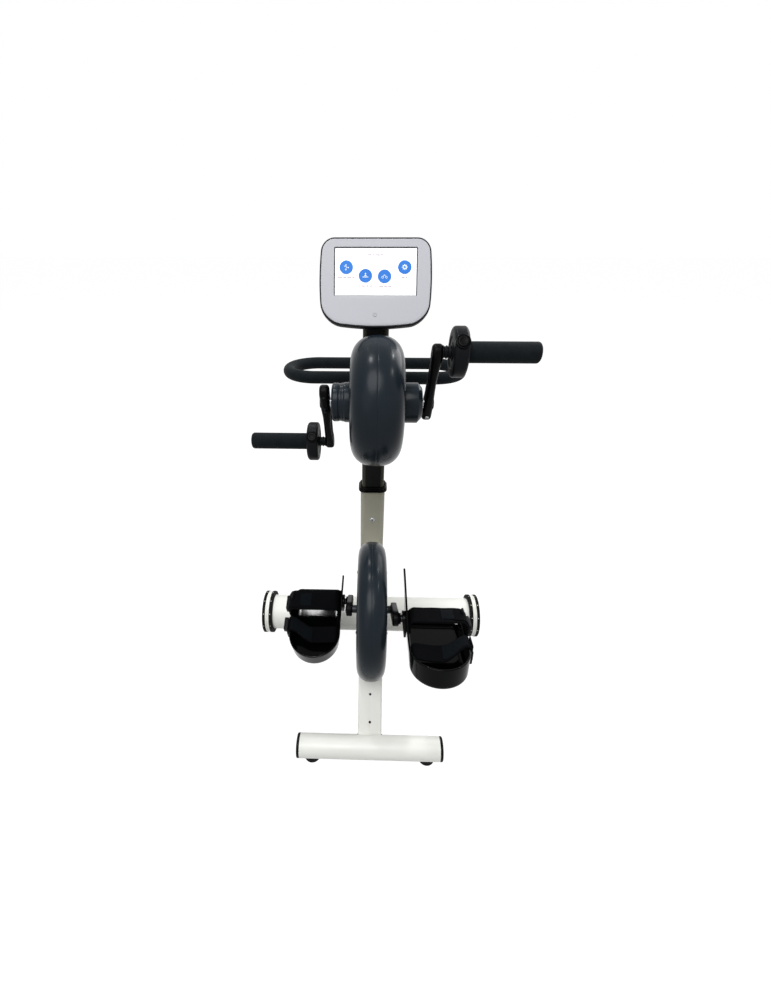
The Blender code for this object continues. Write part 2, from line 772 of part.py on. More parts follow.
def crank_outline(length, tail, root_r, tip_r):
    """A tapered bar with round ends, along local X from its tail past the shaft to its tip."""
    return arc((-tail, 0), root_r, 90, 270, 9) + arc((length, 0), tip_r, -90, 90, 9)


def leg_cranks():
    """The leg crankset: shaft, pulley, two cranks a half turn apart with their spindles; gives its pivot."""
    axis = (0, LEG_Y, LEG_Z)
    crankset = pivot("leg_crankset_pivot", axis, stand)
    outer = LEG_CRANK_IN + LEG_CRANK_THICK
    reach = outer - SHAFT_INSET
    shaft = rod("leg_crankshaft", LEG_SHAFT_R, -reach, reach, CHAMFER)
    put(shaft, crankset, axis, TO_RIGHT, STEEL)
    wheel = pulley("leg_drive_pulley", LEG_PULLEY_R, LEG_SHAFT_R + SEAT, PULLEY_WIDTH)
    put(wheel, crankset, (LEG_PULLEY_X, LEG_Y, LEG_Z), TO_RIGHT, STEEL)
    for side, sign in SIDES:
        angle = LEG_CRANK_ANGLE + (0 if sign > 0 else math.pi)
        outline = turned_by(crank_outline(LEG_CRANK, 0, LEG_CRANK_R, LEG_CRANK_R), angle)
        hole = arc((0, 0), LEG_SHAFT_R + SEAT, 0, 342, SMALL)
        arm = plate("leg_crank_" + side, [outline, hole], LEG_CRANK_THICK)
        put(arm, crankset, (sign * (LEG_CRANK_IN + LEG_CRANK_THICK / 2), LEG_Y, LEG_Z), ACROSS, BLACK)
        y, z = pedal_axis(sign)
        start = outer - PEDAL_ROOT
        end = inner_wall() + FOOT_WALL - CHAMFER
        collar = rod("pedal_collar_" + side, PEDAL_COLLAR_R, start, outer + PEDAL_COLLAR, CHAMFER)
        spindle = rod("pedal_spindle_" + side, PEDAL_R, start, end, CHAMFER)
        for round_part in (collar, spindle):
            join(arm, put(round_part, crankset, (0, y, z), TO_RIGHT if sign > 0 else TO_LEFT))
    return crankset


def pedal_axis(sign):
    """Where a pedal spindle's axis stands, in Y and Z."""
    angle = LEG_CRANK_ANGLE + (0 if sign > 0 else math.pi)
    return (LEG_Y + LEG_CRANK * math.cos(angle), LEG_Z + LEG_CRANK * math.sin(angle))


def rim_height(y, inner):
    """The shell's wall top above the pedal axis: low at the toe, level round the heel, a tall fin inside."""
    heel = FOOT_CUP - FOOT_SOLE
    toe = FOOT_LIP - FOOT_SOLE
    along = min(1.0, max(0.0, (FOOT_TOE - y) / (FOOT_TOE * 0.9)))
    height = toe + (heel - toe) * (along * along * (3 - 2 * along))
    if inner:
        share = max(0.0, 1 - abs(y - FIN_Y) / FIN_HALF)
        height += (FOOT_FIN - height) * math.sin(share * math.pi / 2) ** 1.6
    return height


def foot_outline():
    """Plan points from the inner toe round the heel to the outer toe, each with its wall's top height."""
    half = FOOT_WIDTH / 2
    turn_y = half - FOOT_HEEL
    count = 17
    ys = [FOOT_TOE + (turn_y - FOOT_TOE) * i / count for i in range(count)]
    points = [(-half, y, rim_height(y, True)) for y in ys]
    points += [(x, y, rim_height(y, False)) for x, y in arc((0, turn_y), half, 180, 360, 17)]
    points += [(half, y, rim_height(y, False)) for y in ys[::-4]]
    return points


def shell_surface(name, sign):
    """The foot shell as an open skin: flat sole, turned-up edge, toe lip, flared walls and inner fin."""
    shape = bmesh.new()
    outline = foot_outline()
    edge = FOOT_TURN
    half = FOOT_WIDTH / 2
    heel_y = half - FOOT_HEEL
    rows = []
    for lift, shrink in ((0.0, edge), (edge * 0.3, edge * 0.3), (edge, 0.0)):
        scale = (half - shrink) / half
        row = []
        for x, y, top in outline:
            back = min(0.0, y - heel_y)
            row.append(shape.verts.new((sign * x * scale, y - back * (1 - scale), lift - FOOT_SOLE)))
        rows.append(row)
    row = []
    for x, y, top in outline:
        flare = (top + FOOT_SOLE - FOOT_TURN) * (FIN_LEAN if x < 0 else -WALL_FLARE) * (abs(x) / half)
        row.append(shape.verts.new((sign * (x - flare), y, top)))
    rows.append(row)
    shape.faces.new(rows[0])
    count = len(outline)
    for low, high in zip(rows, rows[1:]):
        for i in range(count):
            after = (i + 1) % count
            shape.faces.new((low[i], low[after], high[after], high[i]))
    bmesh.ops.recalc_face_normals(shape, faces=shape.faces)
    shape.normal_update()
    if sole_points_up(shape):
        bmesh.ops.reverse_faces(shape, faces=shape.faces)
    mesh = bpy.data.meshes.new(name)
    shape.to_mesh(mesh)
    shape.free()
    smooth(mesh)
    return linked(name, mesh)


def sole_points_up(shape):
    lowest = min(shape.faces, key=lambda face: face.calc_center_median().z)
    return lowest.normal.z > 0


def foot_shell(side, sign, crankset):
    """One foot: shell on its pedal spindle, instep strap and heel strap."""
    y, z = pedal_axis(sign)
    at = (0, y, z)
    pitch = FOOT_PITCH[side]
    carrier = pivot("foot_%s_pivot" % side, at, crankset)
    middle = sign * (FOOT_IN + FOOT_WIDTH / 2)
    turn = (pitch, 0, 0)
    shell = shell_surface("foot_shell_" + side, sign)
    thick = shell.modifiers.new("wall", "SOLIDIFY")
    thick.thickness = FOOT_WALL
    thick.offset = -1
    thick.use_even_offset = True
    put(shell, carrier, (middle, y, z), turn, GLOSS)
    outline = arc((0, 0), BOSS_R, 0, 180, 13) + [(-BOSS_R, -FOOT_SOLE * 0.7), (BOSS_R, -FOOT_SOLE * 0.7)]
    gusset = plate("foot_gusset_" + side, [turned_by(outline, pitch)], FOOT_BOSS)
    put(gusset, carrier, (sign * (inner_wall() + FOOT_WALL / 2 - FOOT_BOSS / 2), y, z), ACROSS)
    join(shell, gusset)
    bore = rod("foot_bore_" + side, PEDAL_R + RUNNING, 0.02, FOOT_IN + 0.02, steps=FINE)
    as_cutter(put(bore, carrier, at, TO_RIGHT if sign > 0 else TO_LEFT))
    cut(shell, bore)
    instep_strap(side, sign, carrier, (middle, y, z), turn)
    heel_strap(side, sign, carrier, (middle, y, z), turn)


def wall_x(height, inner):
    """How far a side wall's outer face stands from the shell's middle at a height above the pedal axis."""
    lift = height + FOOT_SOLE - FOOT_TURN
    return FOOT_WIDTH / 2 + lift * (FIN_LEAN if inner else WALL_FLARE)


def inner_wall():
    """How far out the inner wall's outer face stands at the height of the pedal axis."""
    return FOOT_IN + FOOT_WIDTH / 2 - wall_x(0, True)


def band(points, thickness):
    """The outline of a strap of even thickness along flat points."""
    sides = ([], [])
    for i, point in enumerate(points):
        before = Vector(points[max(0, i - 1)])
        after = Vector(points[min(len(points) - 1, i + 1)])
        along = (after - before).normalized()
        across = Vector((-along.y, along.x)) * thickness / 2
        sides[0].append(tuple(Vector(point) + across))
        sides[1].append(tuple(Vector(point) - across))
    return sides[0] + sides[1][::-1]


def instep_strap(side, sign, carrier, at, turn):
    """The wide strap over the instep, from inside the fin over to the outer wall, with its folded tab."""
    bend = STRAP_BEND
    inset = FOOT_WALL + SEAT + STRAP_THICK / 2
    inner_low = inset - wall_x(STRAP_LOW, True)
    inner_high = inset - wall_x(STRAP_TOP - bend, True)
    outer_low = wall_x(FOOT_CUP - FOOT_SOLE, False) + SEAT + STRAP_THICK / 2
    path = [(inner_low, STRAP_LOW), (inner_high, STRAP_TOP - bend)]
    path += [(x, z) for x, z in arc((inner_high + bend, STRAP_TOP - bend), bend, 180, 90, 5)][1:]
    path += [(x, z) for x, z in arc((outer_low - bend, STRAP_TOP - bend), bend, 90, 0, 5)]
    path += [(outer_low, STRAP_OUT_LOW)]
    outline = [(sign * x, z) for x, z in band(path, STRAP_THICK)]
    strap = plate("instep_strap_" + side, [outline], STRAP_WIDTH)
    put(strap, carrier, strap_place(at, turn, (0, STRAP_Y, 0)), (turn[0] + math.pi / 2, 0, 0), WEBBING)
    tab = block("strap_tab_" + side, (STRAP_TAB, TAB_WIDTH, TAB_HEIGHT), TAB_EDGE)
    tab_at = strap_place(at, turn, (sign * (outer_low + TAB_OUT), STRAP_Y, -TAB_LOW))
    join(strap, put(tab, carrier, tab_at, turn))


def strap_place(at, turn, shift):
    """A point given in the pitched foot's own frame."""
    c = math.cos(turn[0])
    s = math.sin(turn[0])
    return (at[0] + shift[0], at[1] + shift[1] * c - shift[2] * s, at[2] + shift[1] * s + shift[2] * c)


def heel_strap(side, sign, carrier, at, turn):
    """The short lower strap's buckle pad on the outer wall near the heel."""
    reach = wall_x(FOOT_CUP - FOOT_SOLE, False) + SEAT + HEEL_STRAP_THICK / 2
    size = (HEEL_STRAP_THICK, HEEL_STRAP_LENGTH, HEEL_STRAP_HEIGHT)
    pad = block("heel_strap_" + side, size, HEEL_STRAP_EDGE)
    shift = (sign * reach, HEEL_STRAP_Y, HEEL_STRAP_HEIGHT / 2 - FOOT_SOLE + FOOT_TURN)
    put(pad, carrier, strap_place(at, turn, shift), turn, WEBBING)


def mast():
    """The inner mast, which slides in the column and carries the arm unit, ring and display."""
    height = MAST_TOP - MAST_BOTTOM
    tube = box_tube("mast_tube", MAST_WIDTH, MAST_DEPTH, MAST_WALL, height, COLUMN_EDGE - COLUMN_WALL)
    slide = pivot("mast_pivot", (0, COLUMN_Y, COLUMN_TOP), stand)
    put(tube, slide, (0, COLUMN_Y, (MAST_BOTTOM + MAST_TOP) / 2), finish=MAST_PAINT)
    return slide


def arm_drive(slide):
    """The arm unit's housing with hubs, bearings, motor and belt, clamped to the front of the mast."""
    axis = (ARM_X, ARM_Y, ARM_Z)
    slot_size = (MAST_WIDTH + 2 * SEAT, MAST_DEPTH + 2 * SEAT, 3 * ARM_R)
    slot = block("mast_slot", slot_size, COLUMN_EDGE - COLUMN_WALL, 3)
    as_cutter(put(slot, slide, (0, COLUMN_Y, ARM_Z)))
    bore = ARM_BEARING_R + SEAT
    low = ARM_HALF - ARM_WALL - ARM_BOSS
    high = ARM_HALF - BEARING_INSET
    for side, sign in SIDES:
        direction = TO_RIGHT if sign > 0 else TO_LEFT
        shell = half_housing("arm_housing_" + side, ARM_R, ARM_HALF, ARM_RIM, ARM_WALL, bore, ARM_BOSS)
        put(shell, slide, axis, direction, SHELL)
        cut(shell, slot)
        bearing = washer("arm_bearing_" + side, ARM_SHAFT_R + SEAT, ARM_BEARING_R, low, high, SMALL)
        put(bearing, slide, axis, direction, STEEL)
        put(arm_hub(side), slide, axis, direction, SHELL)
    motor_y = COLUMN_Y - MAST_DEPTH / 2 - SEAT - ARM_MOTOR_R
    motor_at = (ARM_X, motor_y, ARM_Z)
    pulley_near = ARM_PULLEY_X - PULLEY_WIDTH / 2
    motor_face = pulley_near - MOTOR_STUB
    drive_motor("arm_motor", motor_at, ARM_MOTOR_R, motor_face - ARM_MOTOR_LENGTH, motor_face, slide)
    spin = pivot("arm_motor_pivot", motor_at, slide)
    motor_pulley("arm_motor_pulley", motor_at, motor_face, pulley_near, spin)
    gap = motor_y - ARM_Y
    belt = belt_loop("arm_belt", 0, gap, ARM_PULLEY_R, MOTOR_PULLEY_R, BELT_THICK, BELT_WIDTH)
    put(belt, slide, (ARM_X + ARM_PULLEY_X, ARM_Y, ARM_Z), ACROSS, RUBBER)


def arm_hub(side):
    """A stepped round hub on the housing's side, hollow behind a thin end wall that the shaft passes."""
    near = ARM_HALF + SEAT
    far = ARM_HALF + SEAT + HUB_LENGTH
    bore = ARM_SHAFT_R + RUNNING
    hollow = HUB_R - HUB_WALL
    waist = HUB_R - HUB_STEP
    profile = [(bore, far), (waist - HUB_CHAMFER, far), (waist, far - HUB_CHAMFER)]
    profile += [(waist, near + HUB_BAND + HUB_RUN), (HUB_R, near + HUB_BAND), (HUB_R, near)]
    profile += [(hollow, near), (hollow, far - HUB_WALL), (bore, far - HUB_WALL)]
    return turned("arm_hub_" + side, profile, ring=True, steps=FINE)


def arm_cranks(slide):
    """The arm crankset: shaft, pulley and two cranks a half turn apart, each with its grip spindle."""
    axis = (ARM_X, ARM_Y, ARM_Z)
    crankset = pivot("arm_crankset_pivot", axis, slide)
    inner = ARM_HALF + SEAT + HUB_LENGTH + ARM_CRANK_GAP
    outer = inner + ARM_CRANK_THICK
    reach = outer - SHAFT_INSET - CHAMFER
    shaft = rod("arm_crankshaft", ARM_SHAFT_R, -reach, reach, CHAMFER)
    put(shaft, crankset, axis, TO_RIGHT, STEEL)
    wheel = pulley("arm_drive_pulley", ARM_PULLEY_R, ARM_SHAFT_R + SEAT, PULLEY_WIDTH)
    put(wheel, crankset, (ARM_X + ARM_PULLEY_X, ARM_Y, ARM_Z), TO_RIGHT, STEEL)
    for side, sign in SIDES:
        angle = ARM_CRANK_ANGLE + (0 if sign > 0 else math.pi)
        outline = turned_by(crank_outline(ARM_CRANK, ARM_CRANK_TAIL, ARM_CRANK_R, ARM_CRANK_TIP_R), angle)
        hole = arc((0, 0), ARM_SHAFT_R + SEAT, 0, 342, SMALL)
        arm = plate("arm_crank_" + side, [outline, hole], ARM_CRANK_THICK)
        edges = arm.modifiers.new("edges", "BEVEL")
        edges.width = ARM_CRANK_EDGE
        edges.segments = 1
        edges.limit_method = "ANGLE"
        put(arm, crankset, (ARM_X + sign * (inner + outer) / 2, ARM_Y, ARM_Z), ACROSS, BLACK)
        y, z = grip_axis(sign)
        neck_end = outer + SPINDLE_NECK
        pin_end = neck_end + FLANGE_THICK + GRIP_LENGTH - GRIP_END
        neck = rod("spindle_neck_" + side, SPINDLE_R, outer - NECK_ROOT, neck_end, CHAMFER)
        pin = rod("spindle_pin_" + side, SPINDLE_PIN_R, outer - PIN_ROOT, pin_end, CHAMFER, SMALL)
        for round_part in (neck, pin):
            join(arm, put(round_part, crankset, (ARM_X, y, z), TO_RIGHT if sign > 0 else TO_LEFT))
        hand_grip(side, sign, neck_end + RUNNING, crankset)


def grip_axis(sign):
    """Where a grip's axis stands, in Y and Z."""
    angle = ARM_CRANK_ANGLE + (0 if sign > 0 else math.pi)
    return (ARM_Y + ARM_CRANK * math.cos(angle), ARM_Z + ARM_CRANK * math.sin(angle))


def hand_grip(side, sign, start, crankset):
    """One grip that turns on its spindle: guard flange, foam grip, and the button in the flange's rim."""
    y, z = grip_axis(sign)
    at = (ARM_X, y, z)
    carrier = pivot("grip_%s_pivot" % side, at, crankset)
    direction = TO_RIGHT if sign > 0 else TO_LEFT
    bore = SPINDLE_PIN_R + RUNNING
    far = start + FLANGE_THICK
    edge = FLANGE_EDGE
    corner = arc((FLANGE_R - edge, far - edge), edge, 90, 0, 3)
    lower = arc((FLANGE_R - edge, start + edge), edge, 0, -90, 3)
    rim = [(bore, far)] + corner + lower + [(bore, start)]
    flange = turned("grip_flange_" + side, rim, ring=True, steps=28)
    put(flange, carrier, at, direction, BLACK)
    near = far + SEAT
    top = near + GRIP_LENGTH
    curve = arc((GRIP_R - GRIP_ROUND, top - GRIP_ROUND), GRIP_ROUND, 90, 0, 3)
    end = top - GRIP_END
    profile = [(0, top)] + curve + [(GRIP_R, near), (bore, near), (bore, end), (0, end)]
    put(turned("foam_grip_" + side, profile), carrier, at, direction, FOAM)
    middle = ARM_X + sign * (start + far) / 2
    reach = Vector((0, math.cos(BUTTON_ANGLE), math.sin(BUTTON_ANGLE)))
    aim = (BUTTON_ANGLE - math.pi / 2, 0, 0)
    place = Vector((middle, y, z)) + reach * FLANGE_R
    well = rod("button_well_" + side, BUTTON_R + RUNNING, -BUTTON_LENGTH, 0.01, steps=SMALL)
    cut(flange, as_cutter(put(well, carrier, place, aim)))
    press = pivot("grip_button_%s_pivot" % side, place, carrier)
    low = BUTTON_PROUD - BUTTON_LENGTH + BUTTON_TRAVEL / 2
    button = rod("grip_button_" + side, BUTTON_R, low, BUTTON_PROUD, CHAMFER, SMALL)
    put(button, press, place, aim, BLACK)


def ring_handlebar(slide):
    """The closed ring handlebar behind the mast, welded to its bracket."""
    bend = RING_DEPTH / 2
    straight = RING_WIDTH / 2 - bend - RING_R
    flat = arc((straight, bend), bend, -90, 90, 13) + arc((-straight, bend), bend, 90, 270, 13)
    loop = pipe("ring_handlebar", [(x, y, 0) for x, y in flat], RING_R, cyclic=True, resolution=3)
    put(loop, slide, (0, RING_NEAR_Y, RING_Z), finish=MAST_PAINT)
    start = COLUMN_Y + MAST_DEPTH / 2 + SEAT
    end = RING_NEAR_Y
    size = (RING_BRACKET_WIDTH, end - start, RING_BRACKET_HEIGHT)
    join(loop, put(block("ring_bracket", size, WELD), slide, (0, (start + end) / 2, RING_Z)))


def display_point(up, out):
    """A point in the display's own plane: up along its face and out in front of it, in Y and Z."""
    s = math.sin(DISPLAY_LEAN)
    c = math.cos(DISPLAY_LEAN)
    return (DISPLAY_Y + up * s - out * c, DISPLAY_Z + up * c + out * s)


def display_outline(inset, chin=0.0):
    """The display's face outline: round upper corners, tapered sides, wide lower corners, crowned foot."""
    wide = DISPLAY_HALF_WIDTH - inset
    top = DISPLAY_HALF_HEIGHT - inset
    foot = DISPLAY_HALF_HEIGHT - inset - chin
    upper = DISPLAY_TOP_CORNER - inset
    lower = DISPLAY_LOW_CORNER - inset
    right = arc((wide - DISPLAY_TAPER - lower, DISPLAY_CROWN + lower - foot), lower, -90, 0, 7)
    right += [(wide, DISPLAY_TAPER)]
    right += arc((wide - upper, top - upper), upper, 0, 90, 6)
    return right + [(-x, y) for x, y in right[::-1]] + [(0, -foot)]


def neck(slide):
    """The mast's head: a cap with two ears, and the pin that the display tilts on."""
    base = MAST_TOP + SEAT
    y, z = display_point(0, -CASE_DEPTH - HUMP_DEPTH - TILT_BACK)
    half = MAST_DEPTH / 2 - NECK_EDGE
    cap = block("display_neck", (MAST_WIDTH, MAST_DEPTH, NECK_CAP), NECK_EDGE)
    put(cap, slide, (0, COLUMN_Y, base + NECK_CAP / 2), finish=BLACK)
    reach = y - COLUMN_Y
    outline = [(half, NECK_EDGE / 2), (half, NECK_CAP)]
    outline += [(reach + a, z - base + b) for a, b in arc((0, 0), TILT_LUG_R, 60, 250, 11)]
    outline += [(-half, NECK_EDGE / 2)]
    hole = [(reach + a, z - base + b) for a, b in arc((0, 0), TILT_PIN_R + SEAT, 0, 345, 24)]
    for side, sign in SIDES:
        ear = plate("neck_ear_" + side, [outline, hole], TILT_EAR)
        middle = DISPLAY_X + sign * (TILT_LUG_WIDTH / 2 + RUNNING + TILT_EAR / 2)
        join(cap, put(ear, slide, (middle, COLUMN_Y, base), ACROSS))
    length = TILT_LUG_WIDTH / 2 + RUNNING + TILT_EAR
    pin = rod("tilt_pin", TILT_PIN_R, -length, length, CHAMFER / 2, 16)
    put(pin, slide, (DISPLAY_X, y, z), TO_RIGHT, STEEL)


def display(slide):
    """The display: rear case with its tilt lug, silver bezel, screen glass and the small key below it."""
    y, z = display_point(0, -CASE_DEPTH - HUMP_DEPTH - TILT_BACK)
    carrier = pivot("display_pivot", (DISPLAY_X, y, z), slide)
    turn = (math.pi / 2 - DISPLAY_LEAN, 0, 0)
    case = plate("display_case", [display_outline(0)], CASE_DEPTH)
    put(case, carrier, (DISPLAY_X, *display_point(0, -CASE_DEPTH / 2)), turn, BLACK)
    recess = plate("bezel_recess", [display_outline(DISPLAY_EDGE, DISPLAY_CHIN)], 2 * (BEZEL_THICK + SEAT))
    as_cutter(put(recess, carrier, (DISPLAY_X, *display_point(0, 0)), turn))
    cut(case, recess)
    hump = block("display_hump", (HUMP_WIDTH, HUMP_HEIGHT, HUMP_DEPTH + 2 * WELD), HUMP_EDGE)
    put(hump, carrier, (DISPLAY_X, *display_point(0, WELD - CASE_DEPTH - HUMP_DEPTH / 2)), turn)
    half = TILT_LUG_WIDTH / 2
    lug = rod("tilt_lug", TILT_LUG_R, -half, half, CHAMFER / 2, FINE)
    put(lug, carrier, (DISPLAY_X, y, z), TO_RIGHT)
    web = block("lug_web", (TILT_LUG_WIDTH, 2 * TILT_LUG_R, TILT_BACK + 2 * WELD))
    web_out = WELD - CASE_DEPTH - HUMP_DEPTH - TILT_BACK / 2
    put(web, carrier, (DISPLAY_X, *display_point(0, web_out)), turn)
    join(case, hump, lug, web)
    bore = rod("tilt_bore", TILT_PIN_R + RUNNING, -0.03, 0.03)
    cut(case, as_cutter(put(bore, carrier, (DISPLAY_X, y, z), TO_RIGHT)))
    openings = [display_outline(DISPLAY_EDGE + SEAT, DISPLAY_CHIN), screen_window(SEAT), key_hole()]
    bezel = plate("display_bezel", openings, BEZEL_THICK)
    put(bezel, carrier, (DISPLAY_X, *display_point(0, -BEZEL_THICK / 2)), turn, SILVER)
    glass = block("display_screen", (SCREEN_WIDTH, SCREEN_HEIGHT, SCREEN_THICK), SCREEN_EDGE)
    glass_at = (DISPLAY_X, *display_point(SCREEN_UP, -BEZEL_THICK + SCREEN_THICK / 2))
    put(glass, carrier, glass_at, turn, SCREEN)
    place = (DISPLAY_X, *display_point(-KEY_DOWN, 0))
    press = pivot("display_key_pivot", place, carrier)
    key = rod("display_key", KEY_R, KEY_TRAVEL - BEZEL_THICK + SEAT, KEY_PROUD, SEAT, 16)
    put(key, press, place, turn, SILVER)


def screen_window(clearance):
    """The bezel's window, as large as the glass and its clearance."""
    wide = SCREEN_WIDTH / 2 + clearance
    low = SCREEN_UP - SCREEN_HEIGHT / 2 - clearance
    high = SCREEN_UP + SCREEN_HEIGHT / 2 + clearance
    return [(-wide, low), (wide, low), (wide, high), (-wide, high)]


def key_hole():
    return arc((0, -KEY_DOWN), KEY_R + RUNNING, 0, 345, 24)


# Assembly
stand = pivot("trainer", (0, 0, 0))
front_bar()
frame_beams()
rear_tube()
for side, sign in SIDES:
    roller(side, sign)
column()
power_inlet()
lock_knob()
leg_drive()
leg_crankset = leg_cranks()
for side, sign in SIDES:
    foot_shell(side, sign, leg_crankset)
sliding_mast = mast()
arm_drive(sliding_mast)
arm_cranks(sliding_mast)
ring_handlebar(sliding_mast)
neck(sliding_mast)
display(sliding_mast)
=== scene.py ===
"""Active passive trainer, dressed: every visible piece is rebuilt finely over its solid.

Metres, +Z up, +X to the user's right, the user on the -Y side. Places along Y are measured from the
stand's own datum, as in the part's source, and piece() moves them into the shared frame.
"""

from math import acos, atan2, cos, degrees, pi, radians, sin

import bmesh
import bpy
import numpy as np
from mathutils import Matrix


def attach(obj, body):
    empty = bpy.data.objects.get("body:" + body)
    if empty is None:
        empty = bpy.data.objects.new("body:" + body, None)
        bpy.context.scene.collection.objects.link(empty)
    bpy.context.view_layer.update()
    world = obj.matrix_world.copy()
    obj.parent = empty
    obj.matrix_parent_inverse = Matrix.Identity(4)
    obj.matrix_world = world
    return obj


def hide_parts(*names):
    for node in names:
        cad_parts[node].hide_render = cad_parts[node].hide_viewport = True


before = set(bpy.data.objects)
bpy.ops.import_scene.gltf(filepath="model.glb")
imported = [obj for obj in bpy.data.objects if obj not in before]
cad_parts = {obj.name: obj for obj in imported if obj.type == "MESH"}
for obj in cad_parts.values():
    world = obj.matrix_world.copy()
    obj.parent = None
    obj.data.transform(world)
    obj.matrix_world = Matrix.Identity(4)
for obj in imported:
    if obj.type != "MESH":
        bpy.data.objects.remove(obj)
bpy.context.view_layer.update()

DATUM_Y = -0.0068
SEAT = 0.0003
RUNNING = 0.0005
WELD = 0.000002

# Floor frame
BAR_Y, BAR_Z, BAR_R, BAR_WALL, BAR_LENGTH = -0.301, 0.038, 0.026, 0.002, 0.316
BAR_CAP, CAP_SPIGOT = 0.006, 0.014
FOOT_R, FOOT_SPACING = 0.019, 0.262
REAR_Y, REAR_Z, REAR_TUBE_R, REAR_TUBE_LENGTH, REAR_TUBE_WALL = 0.098, 0.061, 0.050, 0.573, 0.003
ROLLER_R, ROLLER_WIDTH, ROLLER_GROOVE, AXLE_R, AXLE_HEAD = 0.061, 0.0275, 0.0022, 0.008, 0.004
KEEL_WIDTH, KEEL_HEIGHT, KEEL_Z = 0.054, 0.036, 0.040
STRUT_WIDTH, STRUT_DEPTH, STRUT_LEAN, STRUT_TOP_Z = 0.054, 0.036, radians(59.7), 0.196
STRUT_SEAT_ANGLE, BEAM_EDGE = radians(42), 0.004

# Column, mast, collar and knob
COLUMN_Y, COLUMN_WIDTH, COLUMN_DEPTH, COLUMN_WALL = 0.093, 0.060, 0.044, 0.0025
COLUMN_EDGE, COLUMN_TOP = 0.010, 0.494
MAST_WIDTH, MAST_DEPTH, MAST_WALL, MAST_BOTTOM, MAST_TOP = 0.054, 0.038, 0.0025, 0.250, 0.930
COLLAR_PROUD, COLLAR_STEP, COLLAR_LOW, COLLAR_HIGH = 0.0055, 0.003, 0.008, 0.006
SCREW_Z, SCREW_R, SCREW_HEAD = 0.413, 0.0065, 0.003
KNOB_Z, KNOB_R, KNOB_DEPTH, KNOB_STEM_R, KNOB_STAND, KNOB_LOBES = 0.462, 0.024, 0.022, 0.005, 0.012, 6
INLET_WIDTH, INLET_DEPTH, INLET_HEIGHT, INLET_RIM, INLET_Z = 0.032, 0.018, 0.026, 0.003, 0.165

# Leg unit
LEG_Y, LEG_Z, LEG_R, LEG_HALF, LEG_RIM, LEG_WALL = -0.134, 0.300, 0.155, 0.0315, 0.034, 0.003
LEG_BEARING_R, LEG_BOSS, LEG_SHAFT_R = 0.017, 0.010, 0.009
LEG_BRACKET_WIDTH, LEG_BRACKET_HEIGHT, LEG_BRACKET_REACH = 0.046, 0.060, 0.026
LEG_CRANK, LEG_CRANK_ANGLE, LEG_CRANK_IN, LEG_CRANK_THICK, LEG_CRANK_R = 0.074, radians(150), 0.0445, 0.013, 0.0165
PEDAL_R, PEDAL_COLLAR_R, PEDAL_COLLAR = 0.008, 0.0125, 0.005
FOOT_IN, FOOT_WIDTH, FOOT_HEEL, FOOT_TOE, FOOT_SOLE, FOOT_WALL = 0.077, 0.118, 0.135, 0.058, 0.065, 0.004
FOOT_FIN, FOOT_LIP, FOOT_CUP, FOOT_TURN, FIN_Y, FIN_HALF = 0.120, 0.012, 0.050, 0.010, 0.004, 0.046
FOOT_PITCH = {"left": radians(22), "right": radians(-8)}
FIN_LEAN, WALL_FLARE, BOSS_R, FOOT_BOSS = 0.08, 0.03, 0.017, 0.010
STRAP_WIDTH, STRAP_THICK, STRAP_TOP, STRAP_Y, STRAP_LOW, STRAP_OUT_LOW = 0.050, 0.004, 0.014, -0.005, -0.015, -0.040
HEEL_STRAP_THICK, HEEL_STRAP_LENGTH, HEEL_STRAP_HEIGHT, HEEL_STRAP_Y = 0.007, 0.040, 0.032, -0.0545
HEEL_BAND, HEEL_DRAW, PATCH_THICK = 0.036, -0.022, 0.0014

# Arm unit
ARM_X, ARM_Y, ARM_Z, ARM_R, ARM_HALF, ARM_RIM, ARM_WALL = 0.003, -0.035, 0.757, 0.126, 0.0515, 0.052, 0.003
ARM_BEARING_R, ARM_BOSS, ARM_SHAFT_R, HUB_R, HUB_LENGTH, HUB_WALL = 0.019, 0.010, 0.010, 0.039, 0.036, 0.006
ARM_CRANK, ARM_CRANK_ANGLE, ARM_CRANK_GAP, ARM_CRANK_THICK = 0.132, radians(121.4), 0.004, 0.019
ARM_CRANK_TAIL, ARM_CRANK_R, SPINDLE_R, SPINDLE_PIN_R, SPINDLE_NECK = 0.028, 0.015, 0.011, 0.007, 0.013
FLANGE_R, FLANGE_THICK, FLANGE_EDGE, GRIP_R, GRIP_LENGTH, GRIP_ROUND = 0.0425, 0.0255, 0.004, 0.018, 0.126, 0.006
GRIP_END = 0.010
BUTTON_R, BUTTON_PROUD, BUTTON_LENGTH, BUTTON_TRAVEL, BUTTON_ANGLE = 0.0095, 0.003, 0.010, 0.003, radians(145)
RING_Z, RING_NEAR_Y, RING_DEPTH, RING_WIDTH, RING_R = 0.745, 0.192, 0.146, 0.466, 0.015
RING_BRACKET_WIDTH, RING_BRACKET_HEIGHT = 0.044, 0.024

